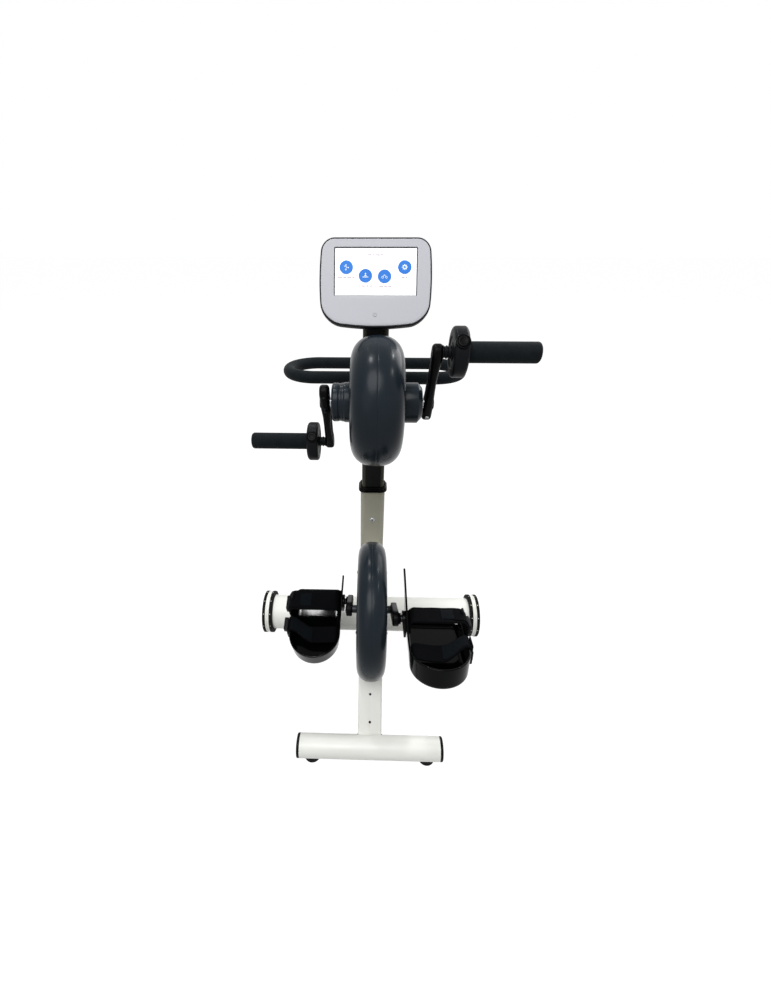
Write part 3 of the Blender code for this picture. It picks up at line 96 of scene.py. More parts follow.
# Display
DISPLAY_X, DISPLAY_Y, DISPLAY_Z, DISPLAY_LEAN = -0.003, 0.023, 0.967, radians(26.3)
DISPLAY_HALF_WIDTH, DISPLAY_HALF_HEIGHT, TOP_CORNER, LOW_CORNER = 0.1045, 0.0815, 0.024, 0.036
SIDE_BEND, WIDEST_UP, FOOT_CROWN, DISPLAY_EDGE, DISPLAY_CHIN = 0.05, 0.004, 0.011, 0.0022, 0.0008
CASE_DEPTH, HUMP_DEPTH, HUMP_WIDTH, HUMP_HEIGHT, BEZEL_THICK = 0.016, 0.014, 0.130, 0.084, 0.004
SCREEN_WIDTH, SCREEN_HEIGHT, SCREEN_UP, SCREEN_THICK = 0.154, 0.087, 0.0203, 0.003
KEY_R, KEY_DOWN, KEY_PROUD, KEY_TRAVEL = 0.0035, 0.058, 0.0006, 0.001
TILT_BACK, TILT_PIN_R, TILT_LUG_R, TILT_LUG_WIDTH, TILT_EAR, NECK_CAP = 0.014, 0.004, 0.012, 0.030, 0.006, 0.008

SIDES = (("left", -1), ("right", 1))
X_AXIS, Y_AXIS, Z_AXIS = np.eye(3)
BACKWARD = (X_AXIS, -Z_AXIS, Y_AXIS)

# The strut's directions along and behind it, and where it starts on the front bar
STRUT_ALONG = np.array((0, cos(STRUT_LEAN), sin(STRUT_LEAN)))
STRUT_BACK = np.array((0, sin(STRUT_LEAN), -cos(STRUT_LEAN)))
STRUT_ROOT = np.array((0, BAR_Y + BAR_R * cos(STRUT_SEAT_ANGLE), BAR_Z + BAR_R * sin(STRUT_SEAT_ANGLE)))

# The display's directions up and out of its face, its middle, and its tilt pin's middle
UP = np.array((0, sin(DISPLAY_LEAN), cos(DISPLAY_LEAN)))
OUT = np.array((0, -cos(DISPLAY_LEAN), sin(DISPLAY_LEAN)))
FACE = np.array((DISPLAY_X, DISPLAY_Y, DISPLAY_Z))
COVER_BACK = -CASE_DEPTH - HUMP_DEPTH
TILT_PIVOT = FACE + OUT * (COVER_BACK - TILT_BACK)


# Camera, floor and light

def in_scene(name, data):
    """A new object for the data, in the scene."""
    made = bpy.data.objects.new(name, data)
    bpy.context.scene.collection.objects.link(made)
    return made


def camera():
    """The photograph's camera: above and in front, looking 30.3 degrees down."""
    data = bpy.data.cameras.new("photo_camera")
    data.sensor_width, data.lens, data.shift_x = 36, 16.2, 0.028
    made = in_scene("photo_camera", data)
    made.location = (-0.010, -0.902 + DATUM_Y, 1.040)
    made.rotation_euler = (pi / 2 - radians(30.3), 0, radians(1.64))
    bpy.context.scene.camera = made


def linear(colour):
    """An sRGB hex colour as linear red, green, blue and alpha."""
    parts = [int(colour[i:i + 2], 16) / 255 for i in (0, 2, 4)]
    return tuple(c / 12.92 if c <= 0.04045 else ((c + 0.055) / 1.055) ** 2.4 for c in parts) + (1.0,)


def add(tree, kind, inputs=(), **settings):
    """Adds a shader node, sets its properties, and sets or links its inputs."""
    made = tree.nodes.new(kind)
    for key, value in settings.items():
        setattr(made, key, value)
    for key, value in dict(inputs).items():
        if isinstance(value, bpy.types.NodeSocket):
            tree.links.new(value, made.inputs[key])
        else:
            made.inputs[key].default_value = value
    return made


def maths(tree, operation, one, two=0.0):
    return add(tree, "ShaderNodeMath", {0: one, 1: two}, operation=operation).outputs[0]


def two_looks(holder, kind, plain, shown, end):
    """A floor or world with one look in its light, and another for the rays that show it.

    Those are the camera's own rays and the ones that come by way of gloss or glass.
    """
    holder.use_nodes = True
    tree = holder.node_tree
    tree.nodes.clear()
    path = add(tree, "ShaderNodeLightPath")
    seen = maths(tree, "MAXIMUM", path.outputs["Is Camera Ray"], path.outputs["Is Transmission Ray"])
    seen = maths(tree, "MAXIMUM", seen, path.outputs["Is Glossy Ray"])
    looks = [add(tree, kind, plain).outputs[0], add(tree, kind, shown).outputs[0]]
    if end == "ShaderNodeOutputMaterial":
        glow = add(tree, "ShaderNodeEmission", {"Color": (1, 1, 1, 1), "Strength": 0.975})
        looks[1] = add(tree, "ShaderNodeAddShader", {0: looks[1], 1: glow.outputs[0]}).outputs[0]
    mix = add(tree, "ShaderNodeMixShader", {"Fac": seen, 1: looks[0], 2: looks[1]})
    add(tree, end, {"Surface": mix.outputs[0]})


def backdrop():
    """A white floor that keeps a faint shadow, a white world for the camera, and soft light from above."""
    paint = bpy.data.materials.new("studio_floor")
    two_looks(paint, "ShaderNodeBsdfDiffuse", {"Color": linear("b4b4b4")}, {"Color": (0.12, 0.12, 0.12, 1)},
              "ShaderNodeOutputMaterial")
    mesh = bpy.data.meshes.new("studio_floor")
    mesh.from_pydata([(-30, -30, 0), (30, -30, 0), (30, 30, 0), (-30, 30, 0)], [], [(0, 1, 2, 3)])
    mesh.materials.append(paint)
    in_scene("studio_floor", mesh)
    world = bpy.data.worlds.new("studio")
    two_looks(world, "ShaderNodeBackground", {"Color": (1, 1, 1, 1), "Strength": 0.16},
              {"Color": (1, 1, 1, 1), "Strength": 1.0}, "ShaderNodeOutputWorld")
    bpy.context.scene.world = world

    # Place, aim, width and power: three wide panels, and four small lamps for the glints on the housings
    aim = (0, -0.1, 0.6)
    for name, at, target, size, power in (
            ("ceiling_panel", (-0.9, -3.4, 5.4), (0, -0.1, 0.5), 3.8, 270),
            ("back_panel", (2.2, 2.4, 2.4), (0, 0, 0.5), 2.4, 54),
            ("front_panel", (-1.6, -2.6, 1.9), (0, 0, 0.45), 2.4, 8),
            ("left_near_lamp", (-0.42, 0.07, 2.6), aim, 0.16, 9), ("left_far_lamp", (-0.55, 1.44, 2.6), aim, 0.14, 9),
            ("right_near_lamp", (1.55, -0.35, 2.6), aim, 0.14, 6), ("right_far_lamp", (1.34, 0.92, 2.6), aim, 0.14, 9)):
        data = bpy.data.lights.new(name, "AREA")
        data.shape, data.size, data.energy = "DISK", size, power
        made = in_scene(name, data)
        made.location = at
        gap = unit(np.array(target) - np.array(at))
        made.rotation_euler = (acos(-gap[2]), 0, atan2(gap[1], gap[0]) - pi / 2)


def unit(vectors):
    """Vectors along the last axis, each brought to length one."""
    vectors = np.asarray(vectors, float)
    return vectors / np.maximum(np.linalg.norm(vectors, axis=-1, keepdims=True), 1e-12)


camera()
backdrop()
bpy.context.scene.view_settings.view_transform = "Standard"


# Materials. A noise's scale is its patches per metre; patterns too fine to show are drawn coarser.

def finish(name, roughness, metallic=0.0, specular=0.5):
    """A new Principled material, with its node tree and shader."""
    made = bpy.data.materials.new(name)
    made.use_nodes = True
    shader = made.node_tree.nodes["Principled BSDF"]
    for key, value in (("Roughness", roughness), ("Metallic", metallic), ("Specular IOR Level", specular)):
        shader.inputs[key].default_value = value
    return made, made.node_tree, shader


def texture(tree, kind, scale, **inputs):
    """A texture in metres of the shared frame."""
    source = add(tree, "ShaderNodeTexCoord").outputs["Object"]
    return add(tree, kind, {"Vector": source, "Scale": scale, **inputs})


def noise(tree, scale, detail=3.0, **inputs):
    return texture(tree, "ShaderNodeTexNoise", scale, Detail=detail, **inputs).outputs["Fac"]


def tones(tree, shader, factor, low, high, start=0.3, end=0.7):
    """Base colour between two close colours by a factor."""
    ramp = add(tree, "ShaderNodeValToRGB", {"Fac": factor})
    for stop, place, colour in zip(ramp.color_ramp.elements, (start, end), (low, high)):
        stop.position, stop.color = place, linear(colour)
    tree.links.new(ramp.outputs["Color"], shader.inputs["Base Color"])
    return ramp


def gloss_range(tree, shader, factor, low, high):
    """Roughness between two values by a factor."""
    spread = add(tree, "ShaderNodeMapRange",
                 {"Value": factor, "From Min": 0.3, "From Max": 0.7, "To Min": low, "To Max": high})
    tree.links.new(spread.outputs["Result"], shader.inputs["Roughness"])


def relief(tree, shader, height, strength, distance):
    """Bump from a height factor, distance in metres."""
    bump = add(tree, "ShaderNodeBump", {"Height": height, "Strength": strength, "Distance": distance})
    tree.links.new(bump.outputs["Normal"], shader.inputs["Normal"])


def sheen(shader, weight, roughness):
    shader.inputs["Sheen Weight"].default_value = weight
    shader.inputs["Sheen Roughness"].default_value = roughness


def powder_coat(name, low, high, roughness, specular=0.5):
    """Baked powder coat on steel: orange peel 2 mm across, faint unevenness of tone and gloss."""
    made, tree, shader = finish(name, roughness, specular=specular)
    tones(tree, shader, noise(tree, 9, 4), low, high)
    gloss_range(tree, shader, noise(tree, 30), roughness - 0.05, roughness + 0.06)
    relief(tree, shader, noise(tree, 480, 2), 0.16, 0.0003)
    return made


def moulded_plastic(name, low, high, roughness, grain, depth, specular=0.5):
    """Injection-moulded plastic: a spark-eroded grain, slight drift of tone and of gloss.

    The grain is about 1 mm across, coarser than the real 0.2 mm, so that it shows.
    """
    made, tree, shader = finish(name, roughness, specular=specular)
    tones(tree, shader, noise(tree, 14, 4), low, high)
    gloss_range(tree, shader, noise(tree, 22), roughness - 0.015, roughness + 0.02)
    relief(tree, shader, noise(tree, grain, 2), 0.2, depth)
    return made


def gloss_moulding(name, low, high):
    """High-gloss moulding: wiping marks about 14 mm long in its gloss, and a faint waviness."""
    made, tree, shader = finish(name, 0.06, specular=0.06)
    tones(tree, shader, noise(tree, 16, 4), low, high)
    gloss_range(tree, shader, noise(tree, 70.0, 6.0, Distortion=1.4), 0.045, 0.08)
    relief(tree, shader, noise(tree, 60, 2), 0.03, 0.0003)
    return made


def closed_cell_foam(name, low, high):
    """Sleeve of closed-cell foam: a skin of cells 0.7 mm across, matt with a soft sheen."""
    made, tree, shader = finish(name, 0.78, specular=0.08)
    tones(tree, shader, noise(tree, 60, 4), low, high)
    relief(tree, shader, texture(tree, "ShaderNodeTexVoronoi", 1500.0).outputs["Distance"], 0.15, 0.0003)
    sheen(shader, 0.04, 0.5)
    return made


def moulded_rubber(name, low, high):
    """Moulded rubber: matt, with pitting 1.4 mm across, drawn coarser than real, and scuffed patches."""
    made, tree, shader = finish(name, 0.75, specular=0.1)
    tones(tree, shader, noise(tree, 45, 5), low, high)
    gloss_range(tree, shader, noise(tree, 80, 4), 0.6, 0.85)
    relief(tree, shader, noise(tree, 700, 3), 0.35, 0.0003)
    return made


def turned_steel(name, low, high, roughness):
    """Plated or cast metal: a clouded surface with tool marks 0.6 mm across, drawn coarser than real."""
    made, tree, shader = finish(name, roughness, 1.0)
    tones(tree, shader, noise(tree, 120, 3), low, high)
    gloss_range(tree, shader, noise(tree, 260, 3), roughness - 0.08, roughness + 0.1)
    relief(tree, shader, noise(tree, 1600, 2), 0.12, 0.0001)
    return made


def strap_webbing(name, low, high):
    """Woven nylon strap: plain weave of 1.6 mm yarns from the strap's own length and width in metres."""
    made, tree, shader = finish(name, 0.82, specular=0.04)
    along = add(tree, "ShaderNodeSeparateXYZ", {"Vector": add(tree, "ShaderNodeUVMap").outputs["UV"]})
    waves = [maths(tree, "SINE", maths(tree, "MULTIPLY", along.outputs[axis], 2 * pi / 0.0016)) for axis in "XY"]
    weave = maths(tree, "MULTIPLY", *waves)
    height = add(tree, "ShaderNodeMapRange", {"Value": weave, "From Min": -1.0, "From Max": 1.0}).outputs["Result"]
    tones(tree, shader, height, low, high, 0.1, 0.9)
    relief(tree, shader, maths(tree, "ADD", height, noise(tree, 900, 3)), 0.5, 0.0003)
    return made


def loop_pile(name, low, high):
    """Hook-and-loop patch: a short nap of loops 0.7 mm across that scatters light."""
    made, tree, shader = finish(name, 0.95, specular=0.05)
    tones(tree, shader, noise(tree, 1300, 5), low, high, 0.35, 0.65)
    relief(tree, shader, noise(tree, 1500, 5), 0.9, 0.0008)
    sheen(shader, 0.05, 0.4)
    return made


def metallic_lacquer(name, low, high):
    """Silver lacquer over moulded plastic: aluminium flake, drawn at 0.4 mm to show, under a satin coat."""
    made, tree, shader = finish(name, 0.6, 0.05, 0.12)
    flake = texture(tree, "ShaderNodeTexVoronoi", 2600.0)
    tones(tree, shader, flake.outputs["Distance"], low, high, 0.2, 0.8)
    relief(tree, shader, noise(tree, 900, 2), 0.08, 0.0002)
    return made


def lit_panel(name, low, high, strength):
    """Lit liquid-crystal panel: an even colour with a faint drift of its backlight."""
    made, tree, shader = finish(name, 0.4, specular=0.1)
    ramp = tones(tree, shader, noise(tree, 12, 2), low, high)
    tree.links.new(ramp.outputs["Color"], shader.inputs["Emission Color"])
    shader.inputs["Emission Strength"].default_value = strength
    return made


PAINT = powder_coat("white_powder_coat", "e4e5df", "ebebe6", 0.36)
# The column's white powder coat drawn grey-beige: painted shade, for the shade the housings above cast on its front
SHADED_COLUMN_PAINT = powder_coat("column_paint_with_painted_shade", "a3a291", "aba999", 0.4)
# Olive paint, lighter than the mast's black: painted sheen for the light its rounded edges catch; the front strip keeps
# the black
EDGE_SHEEN_MAST_PAINT = powder_coat("olive_mast_paint_with_painted_edge_sheen", "38382d", "414135", 0.36, 0.15)
MAST_FRONT = powder_coat("black_powder_coat", "171718", "1e1e1e", 0.36, 0.08)
SHELL = moulded_plastic("slate_abs_moulding", "171f25", "1c242b", 0.24, 1100, 0.00003, 0.1)
BLACK = moulded_plastic("black_nylon_moulding", "0b0d0f", "111214", 0.42, 900, 0.00015, 0.07)
NECK = moulded_plastic("navy_black_moulding", "0a111a", "0f1721", 0.4, 900, 0.00015, 0.1)
CRANK = powder_coat("crank_black_coat", "030305", "070709", 0.34, 0.05)
GLOSS = gloss_moulding("gloss_black_moulding", "020303", "050506")
FOAM = closed_cell_foam("foam_sleeve", "0c1114", "12181b")
RUBBER = moulded_rubber("black_rubber", "0a0a0a", "121211")
STEEL = turned_steel("zinc_plated_steel", "9a9c9e", "b4b6b8", 0.3)
DARK_STEEL = turned_steel("blackened_steel", "1d1f21", "2a2c2e", 0.4)
SILVER = metallic_lacquer("silver_lacquer", "b5b6bc", "bdbec4")
GLASS = gloss_moulding("screen_surround", "15181c", "1b1f24")
PANEL = lit_panel("lit_screen", "f3f6f8", "fafcfd", 0.3)
WEBBING = strap_webbing("black_webbing", "020203", "060709")
PILE = loop_pile("loop_patch", "070a0d", "0c1014")
MOTOR = turned_steel("motor_casting", "6d7072", "808385", 0.5)
ICON_BLUE = lit_panel("icon_blue", "3077d2", "377fd8", 0.06)
ICON_WHITE = lit_panel("icon_white", "d9e6f4", "e2edf8", 0.08)
PALE_INK = lit_panel("pale_caption", "bfb0b8", "c8bac1", 0.04)
KEY_GREY = moulded_plastic("grey_key", "a5a7ac", "acaeb3", 0.45, 900, 0.0001)

# The materials of each slot of the solids; the first one dresses the solids that stay
SLOTS = {"white_paint": (PAINT, SHADED_COLUMN_PAINT), "slate_shell": (SHELL,), "black_plastic": (BLACK, CRANK, NECK),
         "gloss_black": (GLOSS,), "grip_foam": (FOAM,), "black_rubber": (RUBBER,), "steel": (STEEL, DARK_STEEL),
         "mast_paint": (EDGE_SHEEN_MAST_PAINT, MAST_FRONT), "silver_plastic": (SILVER, KEY_GREY),
         "screen_glass": (GLASS, PANEL, ICON_BLUE, ICON_WHITE, PALE_INK), "webbing": (WEBBING, PILE),
         "motor_case": (MOTOR,)}


# Shapes

def fillet(points, radius, steps=4, closed=False):
    """A flat polyline with every corner rounded by about a radius, less where a side is short.

    Each corner becomes a quadratic curve from one side to the other, with the corner as its control point.
    """
    points = [np.asarray(p, float) for p in points]
    made = []
    for i, here in enumerate(points):
        if not closed and i in (0, len(points) - 1):
            made.append(here)
            continue
        one, two = points[i - 1] - here, points[(i + 1) % len(points)] - here
        reach = min(radius, 0.45 * np.linalg.norm(one), 0.45 * np.linalg.norm(two))
        start, end = here + unit(one) * reach, here + unit(two) * reach
        made += [(1 - t) ** 2 * start + 2 * t * (1 - t) * here + t * t * end for t in np.linspace(0, 1, steps + 1)]
    return np.array(made)


def arc(centre, radius, start, end, count):
    """Points on a circle from one angle to another, in degrees."""
    turn = np.radians(np.linspace(start, end, count))
    return np.stack([centre[0] + radius * np.cos(turn), centre[1] + radius * np.sin(turn)], 1)


def rectangle(width, height, radius, count=9):
    """The outline of a rectangle with round corners, anticlockwise."""
    x, y = width / 2 - radius, height / 2 - radius
    corners = ((x, y), (-x, y), (-x, -y), (x, -y))
    return np.concatenate([arc(at, radius, 90 * i, 90 * i + 90, count) for i, at in enumerate(corners)])


def stroke(start, end, radius, tip=None, count=9):
    """A round-ended bar between two points, its far end of another radius where one is given."""
    start, end = np.array(start), np.array(end)
    turn = degrees(atan2(*(end - start)[::-1]))
    return np.concatenate([arc(start, radius, turn + 90, turn + 270, count),
                           arc(end, tip or radius, turn - 90, turn + 90, count)])


def chord(radius, gap):
    """Half of a circle's width at a distance from its middle: the root of the two squares' difference."""
    return np.sqrt(np.maximum(radius ** 2 - gap ** 2, 0))


def dense(outline, step):
    """A closed outline with extra points, so that no side is longer than a step."""
    made = []
    for here, after in zip(outline, np.roll(outline, -1, 0)):
        count = max(1, int(np.linalg.norm(after - here) / step))
        made += [here + (after - here) * k / count for k in range(count)]
    return np.array(made)


def inset(outline, reach):
    """A closed anticlockwise outline moved inwards by a distance."""
    after = unit(np.roll(outline, -1, 0) - outline)
    one, two = (side[:, ::-1] * (-1, 1) for side in (np.roll(after, 1, 0), after))
    return outline + reach * (one + two) / np.maximum(1 + np.sum(one * two, 1), 0.3)[:, None]


def layers(rows):
    """Flat outlines at their heights, as rows of points."""
    return np.array([np.column_stack([flat, np.full(len(flat), z)]) for flat, z in rows])


def rounded_edge(outline, edge, height, steps, down=False):
    """Rows of an outline's edge: a quarter circle that grows up from a height, or shrinks up to it."""
    turns = np.linspace(0, pi / 2, steps + 1)
    rows = [(inset(outline, edge * (1 - sin(a))), height + (-edge if down else edge) * (1 - cos(a))) for a in turns]
    return rows[::-1] if down else rows


def raised(outline, low, high, edge=0.0, steps=4):
    """An outline raised from low to high with rounded edges: rows of points, to be capped at both ends."""
    if not edge:
        return layers([(outline, low), (outline, high)])
    return layers(rounded_edge(outline, edge, low, steps) + rounded_edge(outline, edge, high, steps, True))


def sleeve(inner, outer, start, end):
    """The profile of a sleeve, or of a rod where the inner radius is 0."""
    return [(inner, start), (outer, start), (outer, end), (inner, end)]


def mirrored(profile):
    """A profile, and its mirror image on the other side of height 0."""
    return profile + [(r, -h) for r, h in profile[::-1]]


def around(radius, height, centre, axis):
    """Points at rows of radii and heights about an axis: rows along it, columns evenly spaced round it."""
    axis = unit(axis)
    side = unit(np.cross(axis, Y_AXIS if abs(axis[1]) < 0.9 else X_AXIS))
    turn = np.linspace(0, 2 * pi, radius.shape[1], endpoint=False)[:, None]
    ring = np.cos(turn) * side + np.sin(turn) * np.cross(axis, side)
    return np.asarray(centre) + radius[..., None] * ring + height[:, None, None] * axis


def placed(grid, origin, x_axis, y_axis, z_axis):
    """Local points moved into a frame of three axes at an origin."""
    return np.asarray(origin) + np.asarray(grid) @ np.array([x_axis, y_axis, z_axis])


def surface(grid, ring=False, caps=True):
    """The vertices and faces of rows that close round; they close on each other too, or get a face at each end."""
    rows, columns = grid.shape[:2]
    index = np.arange(rows * columns).reshape(rows, columns)
    if ring:
        index = np.vstack([index, index[:1]])
    index = np.hstack([index, index[:, :1]])
    quads = np.stack([index[:-1, :-1], index[:-1, 1:], index[1:, 1:], index[1:, :-1]], -1).reshape(-1, 4)
    faces = quads.tolist()
    if caps and not ring:
        faces += [list(range(columns))[::-1], list(range((rows - 1) * columns, rows * columns))]
    return grid.reshape(-1, 3), faces


def lathed(profile, centre, axis, steps=96, ring=False):
    """A profile of (radius, height) turned about an axis."""
    profile = np.asarray(profile, float)
    return surface(around(np.repeat(profile[:, :1], steps, 1), profile[:, 1], centre, axis), ring, False)


def raw_object(name, parts):
    """An object from vertices and faces, welded, with its faces turned outwards."""
    points, faces, start = [], [], 0
    for verts, polygons in parts:
        points.append(verts)
        faces += [[i + start for i in polygon] for polygon in polygons]
        start += len(verts)
    mesh = bpy.data.meshes.new(name)
    mesh.from_pydata((np.concatenate(points) + (0, DATUM_Y, 0)).tolist(), [], faces)
    shape = bmesh.new()
    shape.from_mesh(mesh)
    bmesh.ops.remove_doubles(shape, verts=shape.verts, dist=WELD)
    bmesh.ops.recalc_face_normals(shape, faces=shape.faces)
    shape.to_mesh(mesh)
    shape.free()
    return in_scene(name, mesh)


def piece(name, parts, material, body, stands_for=None, sharp=38, tools=()):
    """A finished piece with its material and body, less what its tools cut out of it.

    It stands for the node given, or for the one that bears its name without _fine.
    """
    made = raw_object(name, parts)
    cutters = [raw_object("%s_cut_%d" % (name, i), tool) for i, tool in enumerate(tools)]
    for cutter in cutters:
        step = made.modifiers.new("cut", "BOOLEAN")
        step.operation, step.solver, step.object = "DIFFERENCE", "EXACT", cutter
    if cutters:
        graph = bpy.context.evaluated_depsgraph_get()
        mesh = bpy.data.meshes.new_from_object(made.evaluated_get(graph))
        made.modifiers.clear()
        made.data = mesh
        for cutter in cutters:
            bpy.data.objects.remove(cutter)
    made.data.materials.clear()
    made.data.materials.append(material)
    made.data.shade_smooth()
    made.data.set_sharp_from_angle(angle=radians(sharp))
    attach(made, body)
    if "_fine" in name or stands_for:
        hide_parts(stands_for or name.replace("_fine", ""))
    return made


def turned(name, profile, at, axis, material, body, edge=0.0, fine=3, steps=56, ring=False, **more):
    """A piece turned from a profile of (radius, height) whose corners are rounded; a ring's profile closes."""
    if edge:
        profile = fillet(profile, edge, fine, ring)
    piece(name, [lathed(profile, at, axis, steps, ring)], material, body, **more)


def box_at(centre, size, edge, axes=(X_AXIS, Y_AXIS, Z_AXIS), corner=None):
    """A rounded block: an outline in its first two axes, raised along its third."""
    flat = rectangle(size[0], size[1], corner or max(edge * 1.2, 0.0004), 6)
    return surface(placed(raised(flat, -size[2] / 2, size[2] / 2, edge, 3), centre, *axes))


def socket_screw(centre, axis, radius, height):
    """A domed screw head with a hexagon socket.

    The socket's radius at an angle is its flats' distance over the cosine of the angle from a flat's middle.
    """
    turn = np.linspace(0, 2 * pi, 36, endpoint=False)
    hexagon = radius * 0.5 * cos(pi / 6) / np.cos(turn % (pi / 3) - pi / 6)
    dome = np.array((0.35, 0.7, 0.95))
    rounds = radius * np.concatenate([(1, 1), np.cos(dome)])
    reach = np.vstack([np.repeat(rounds[:, None], 36, 1), hexagon, hexagon * 0.97])
    rise = np.concatenate([(-0.0006, height * 0.25), height * (0.25 + 0.75 * np.sin(dome)), (height, height * 0.45)])
    return surface(around(reach, rise, centre, axis))


def screws(name, places, axis, radius, height, material, body):
    """A screw at each place, numbered from 1."""
    for i, at in enumerate(places):
        piece("%s_%d" % (name, i + 1), [socket_screw(at, axis, radius, height)], material, body)


# Floor frame

def front_bar():
    """Front cross tube, its end caps and its two rubber feet."""
    half = BAR_LENGTH / 2
    turned("front_bar_fine", sleeve(BAR_R - BAR_WALL, BAR_R, half, -half), (0, BAR_Y, BAR_Z), X_AXIS, PAINT,
           "stand", 0.0007, steps=96, ring=True)
    spigot = BAR_R - BAR_WALL - SEAT
    cap = [(0, BAR_CAP), (BAR_R, BAR_CAP), (BAR_R, 0), (spigot, 0), (spigot, -CAP_SPIGOT), (0, -CAP_SPIGOT)]
    for side, sign in SIDES:
        at = (sign * (half + SEAT), BAR_Y, BAR_Z)
        turned("front_cap_fine_" + side, cap, at, sign * X_AXIS, BLACK, "stand", 0.0022, fine=5, steps=80)
        foot_rest(side, sign)


def foot_rest(side, sign):
    """A ribbed rubber foot, its top coped to the tube above it by the tube's chord at each place."""
    rows = []
    for radius, height in ((0, 0), (FOOT_R - 0.0035, 0), (FOOT_R - 0.001, 0.0012), (FOOT_R - 0.0004, 0.0045),
                           (FOOT_R - 0.0016, 0.0055), (FOOT_R, 0.0068), (FOOT_R - 0.001, None), (0, None)):
        flat = arc((0, 0), radius, 0, 360, 65)[:-1]
        coped = BAR_Z - chord(BAR_R + SEAT, flat[:, 1])
        rows.append((flat + (sign * FOOT_SPACING / 2, BAR_Y), coped if height is None else height))
    piece("front_foot_fine_" + side, [surface(layers(rows), caps=False)], RUBBER, "stand")


def beams():
    """Keel and strut: rounded steel sections coped to the cross tubes, the strut with a seam and two screws.

    The keel's ends follow the tubes' chords. Each line of the strut starts where it leaves the front bar's
    circle, by the quadratic formula, or where it clears the keel, whichever is further.
    """
    flat = dense(rectangle(KEEL_WIDTH, KEEL_HEIGHT, BEAM_EDGE, 7), 0.004)
    z = flat[:, 1] + KEEL_Z
    start, end = BAR_Y + chord(BAR_R + SEAT, z - BAR_Z), REAR_Y - chord(REAR_TUBE_R + SEAT, z - REAR_Z)
    shares = np.linspace(0, 1, 24)
    rows = [np.column_stack([flat[:, 0], start + (end - start) * t, z]) for t in shares]
    piece("keel_beam_fine", [surface(np.array(rows))], PAINT, "stand")

    flat = rectangle(STRUT_WIDTH, STRUT_DEPTH, BEAM_EDGE, 7) + (0, STRUT_DEPTH / 2)
    last = (flat[:, 1] < BEAM_EDGE + 1e-6) & (flat[:, 0] > 0)
    seam = [(-0.0008, 0), (-0.0003, 0.0005), (0.0003, 0.0005), (0.0008, 0)]
    outline = dense(np.vstack([flat[~last], seam, flat[last]]), 0.004)
    base = STRUT_ROOT + outline[:, 1:] * STRUT_BACK
    low = (KEEL_Z + KEEL_HEIGHT / 2 + SEAT - base[:, 2]) / STRUT_ALONG[2]
    gap = base[:, 1:] - (BAR_Y, BAR_Z)
    along = gap @ STRUT_ALONG[1:]
    under = along ** 2 - np.sum(gap ** 2, 1) + (BAR_R + SEAT) ** 2
    leaves = np.where(under > 0, np.sqrt(np.maximum(under, 0)) - along, -1)
    start = np.maximum(low, leaves)[:, None]
    end = (STRUT_TOP_Z - STRUT_ROOT[2]) / STRUT_ALONG[2]
    rows = [base + outline[:, :1] * X_AXIS + (start + (end - start) * t) * STRUT_ALONG for t in shares]
    piece("front_strut_fine", [surface(np.array(rows))], PAINT, "stand")
    places = [STRUT_ROOT + reach * STRUT_ALONG for reach in (0.028, 0.092)]
    screws("strut_screw", places, -STRUT_BACK, 0.0028, 0.0012, DARK_STEEL, "stand")
    centre, half = (BAR_Y, BAR_Z), STRUT_WIDTH / 2 + 0.0012
    ring = np.concatenate([arc(centre, BAR_R + 0.00005, 37, 45, 12), arc(centre, BAR_R + 0.0011, 45, 37, 12)])
    rows = [np.column_stack([np.full(len(ring), x), ring]) for x in (-half, 0, half)]
    piece("strut_gasket", [surface(np.array(rows))], RUBBER, "stand")


def rear():
    """Rear cross tube, its axle, and the two transport rollers with rubber bands."""
    half = REAR_TUBE_LENGTH / 2
    inner, plug, bore = REAR_TUBE_R - REAR_TUBE_WALL, 0.012, AXLE_R + SEAT
    at = (0, REAR_Y, REAR_Z)
    profile = mirrored([(inner, half - plug), (bore, half - plug), (bore, half), (REAR_TUBE_R, half)])
    turned("rear_tube_fine", profile, at, X_AXIS, PAINT, "stand", 0.0012, steps=128, ring=True)
    reach = half + RUNNING + ROLLER_WIDTH - AXLE_HEAD
    profile = mirrored([(0, reach - 0.0016), (0.0028, reach - 0.0016), (0.0034, reach), (AXLE_R, reach)])
    turned("rear_axle_fine", profile, at, X_AXIS, STEEL, "stand", 0.0007, steps=48)
    for side, sign in SIDES:
        roller(side, sign)


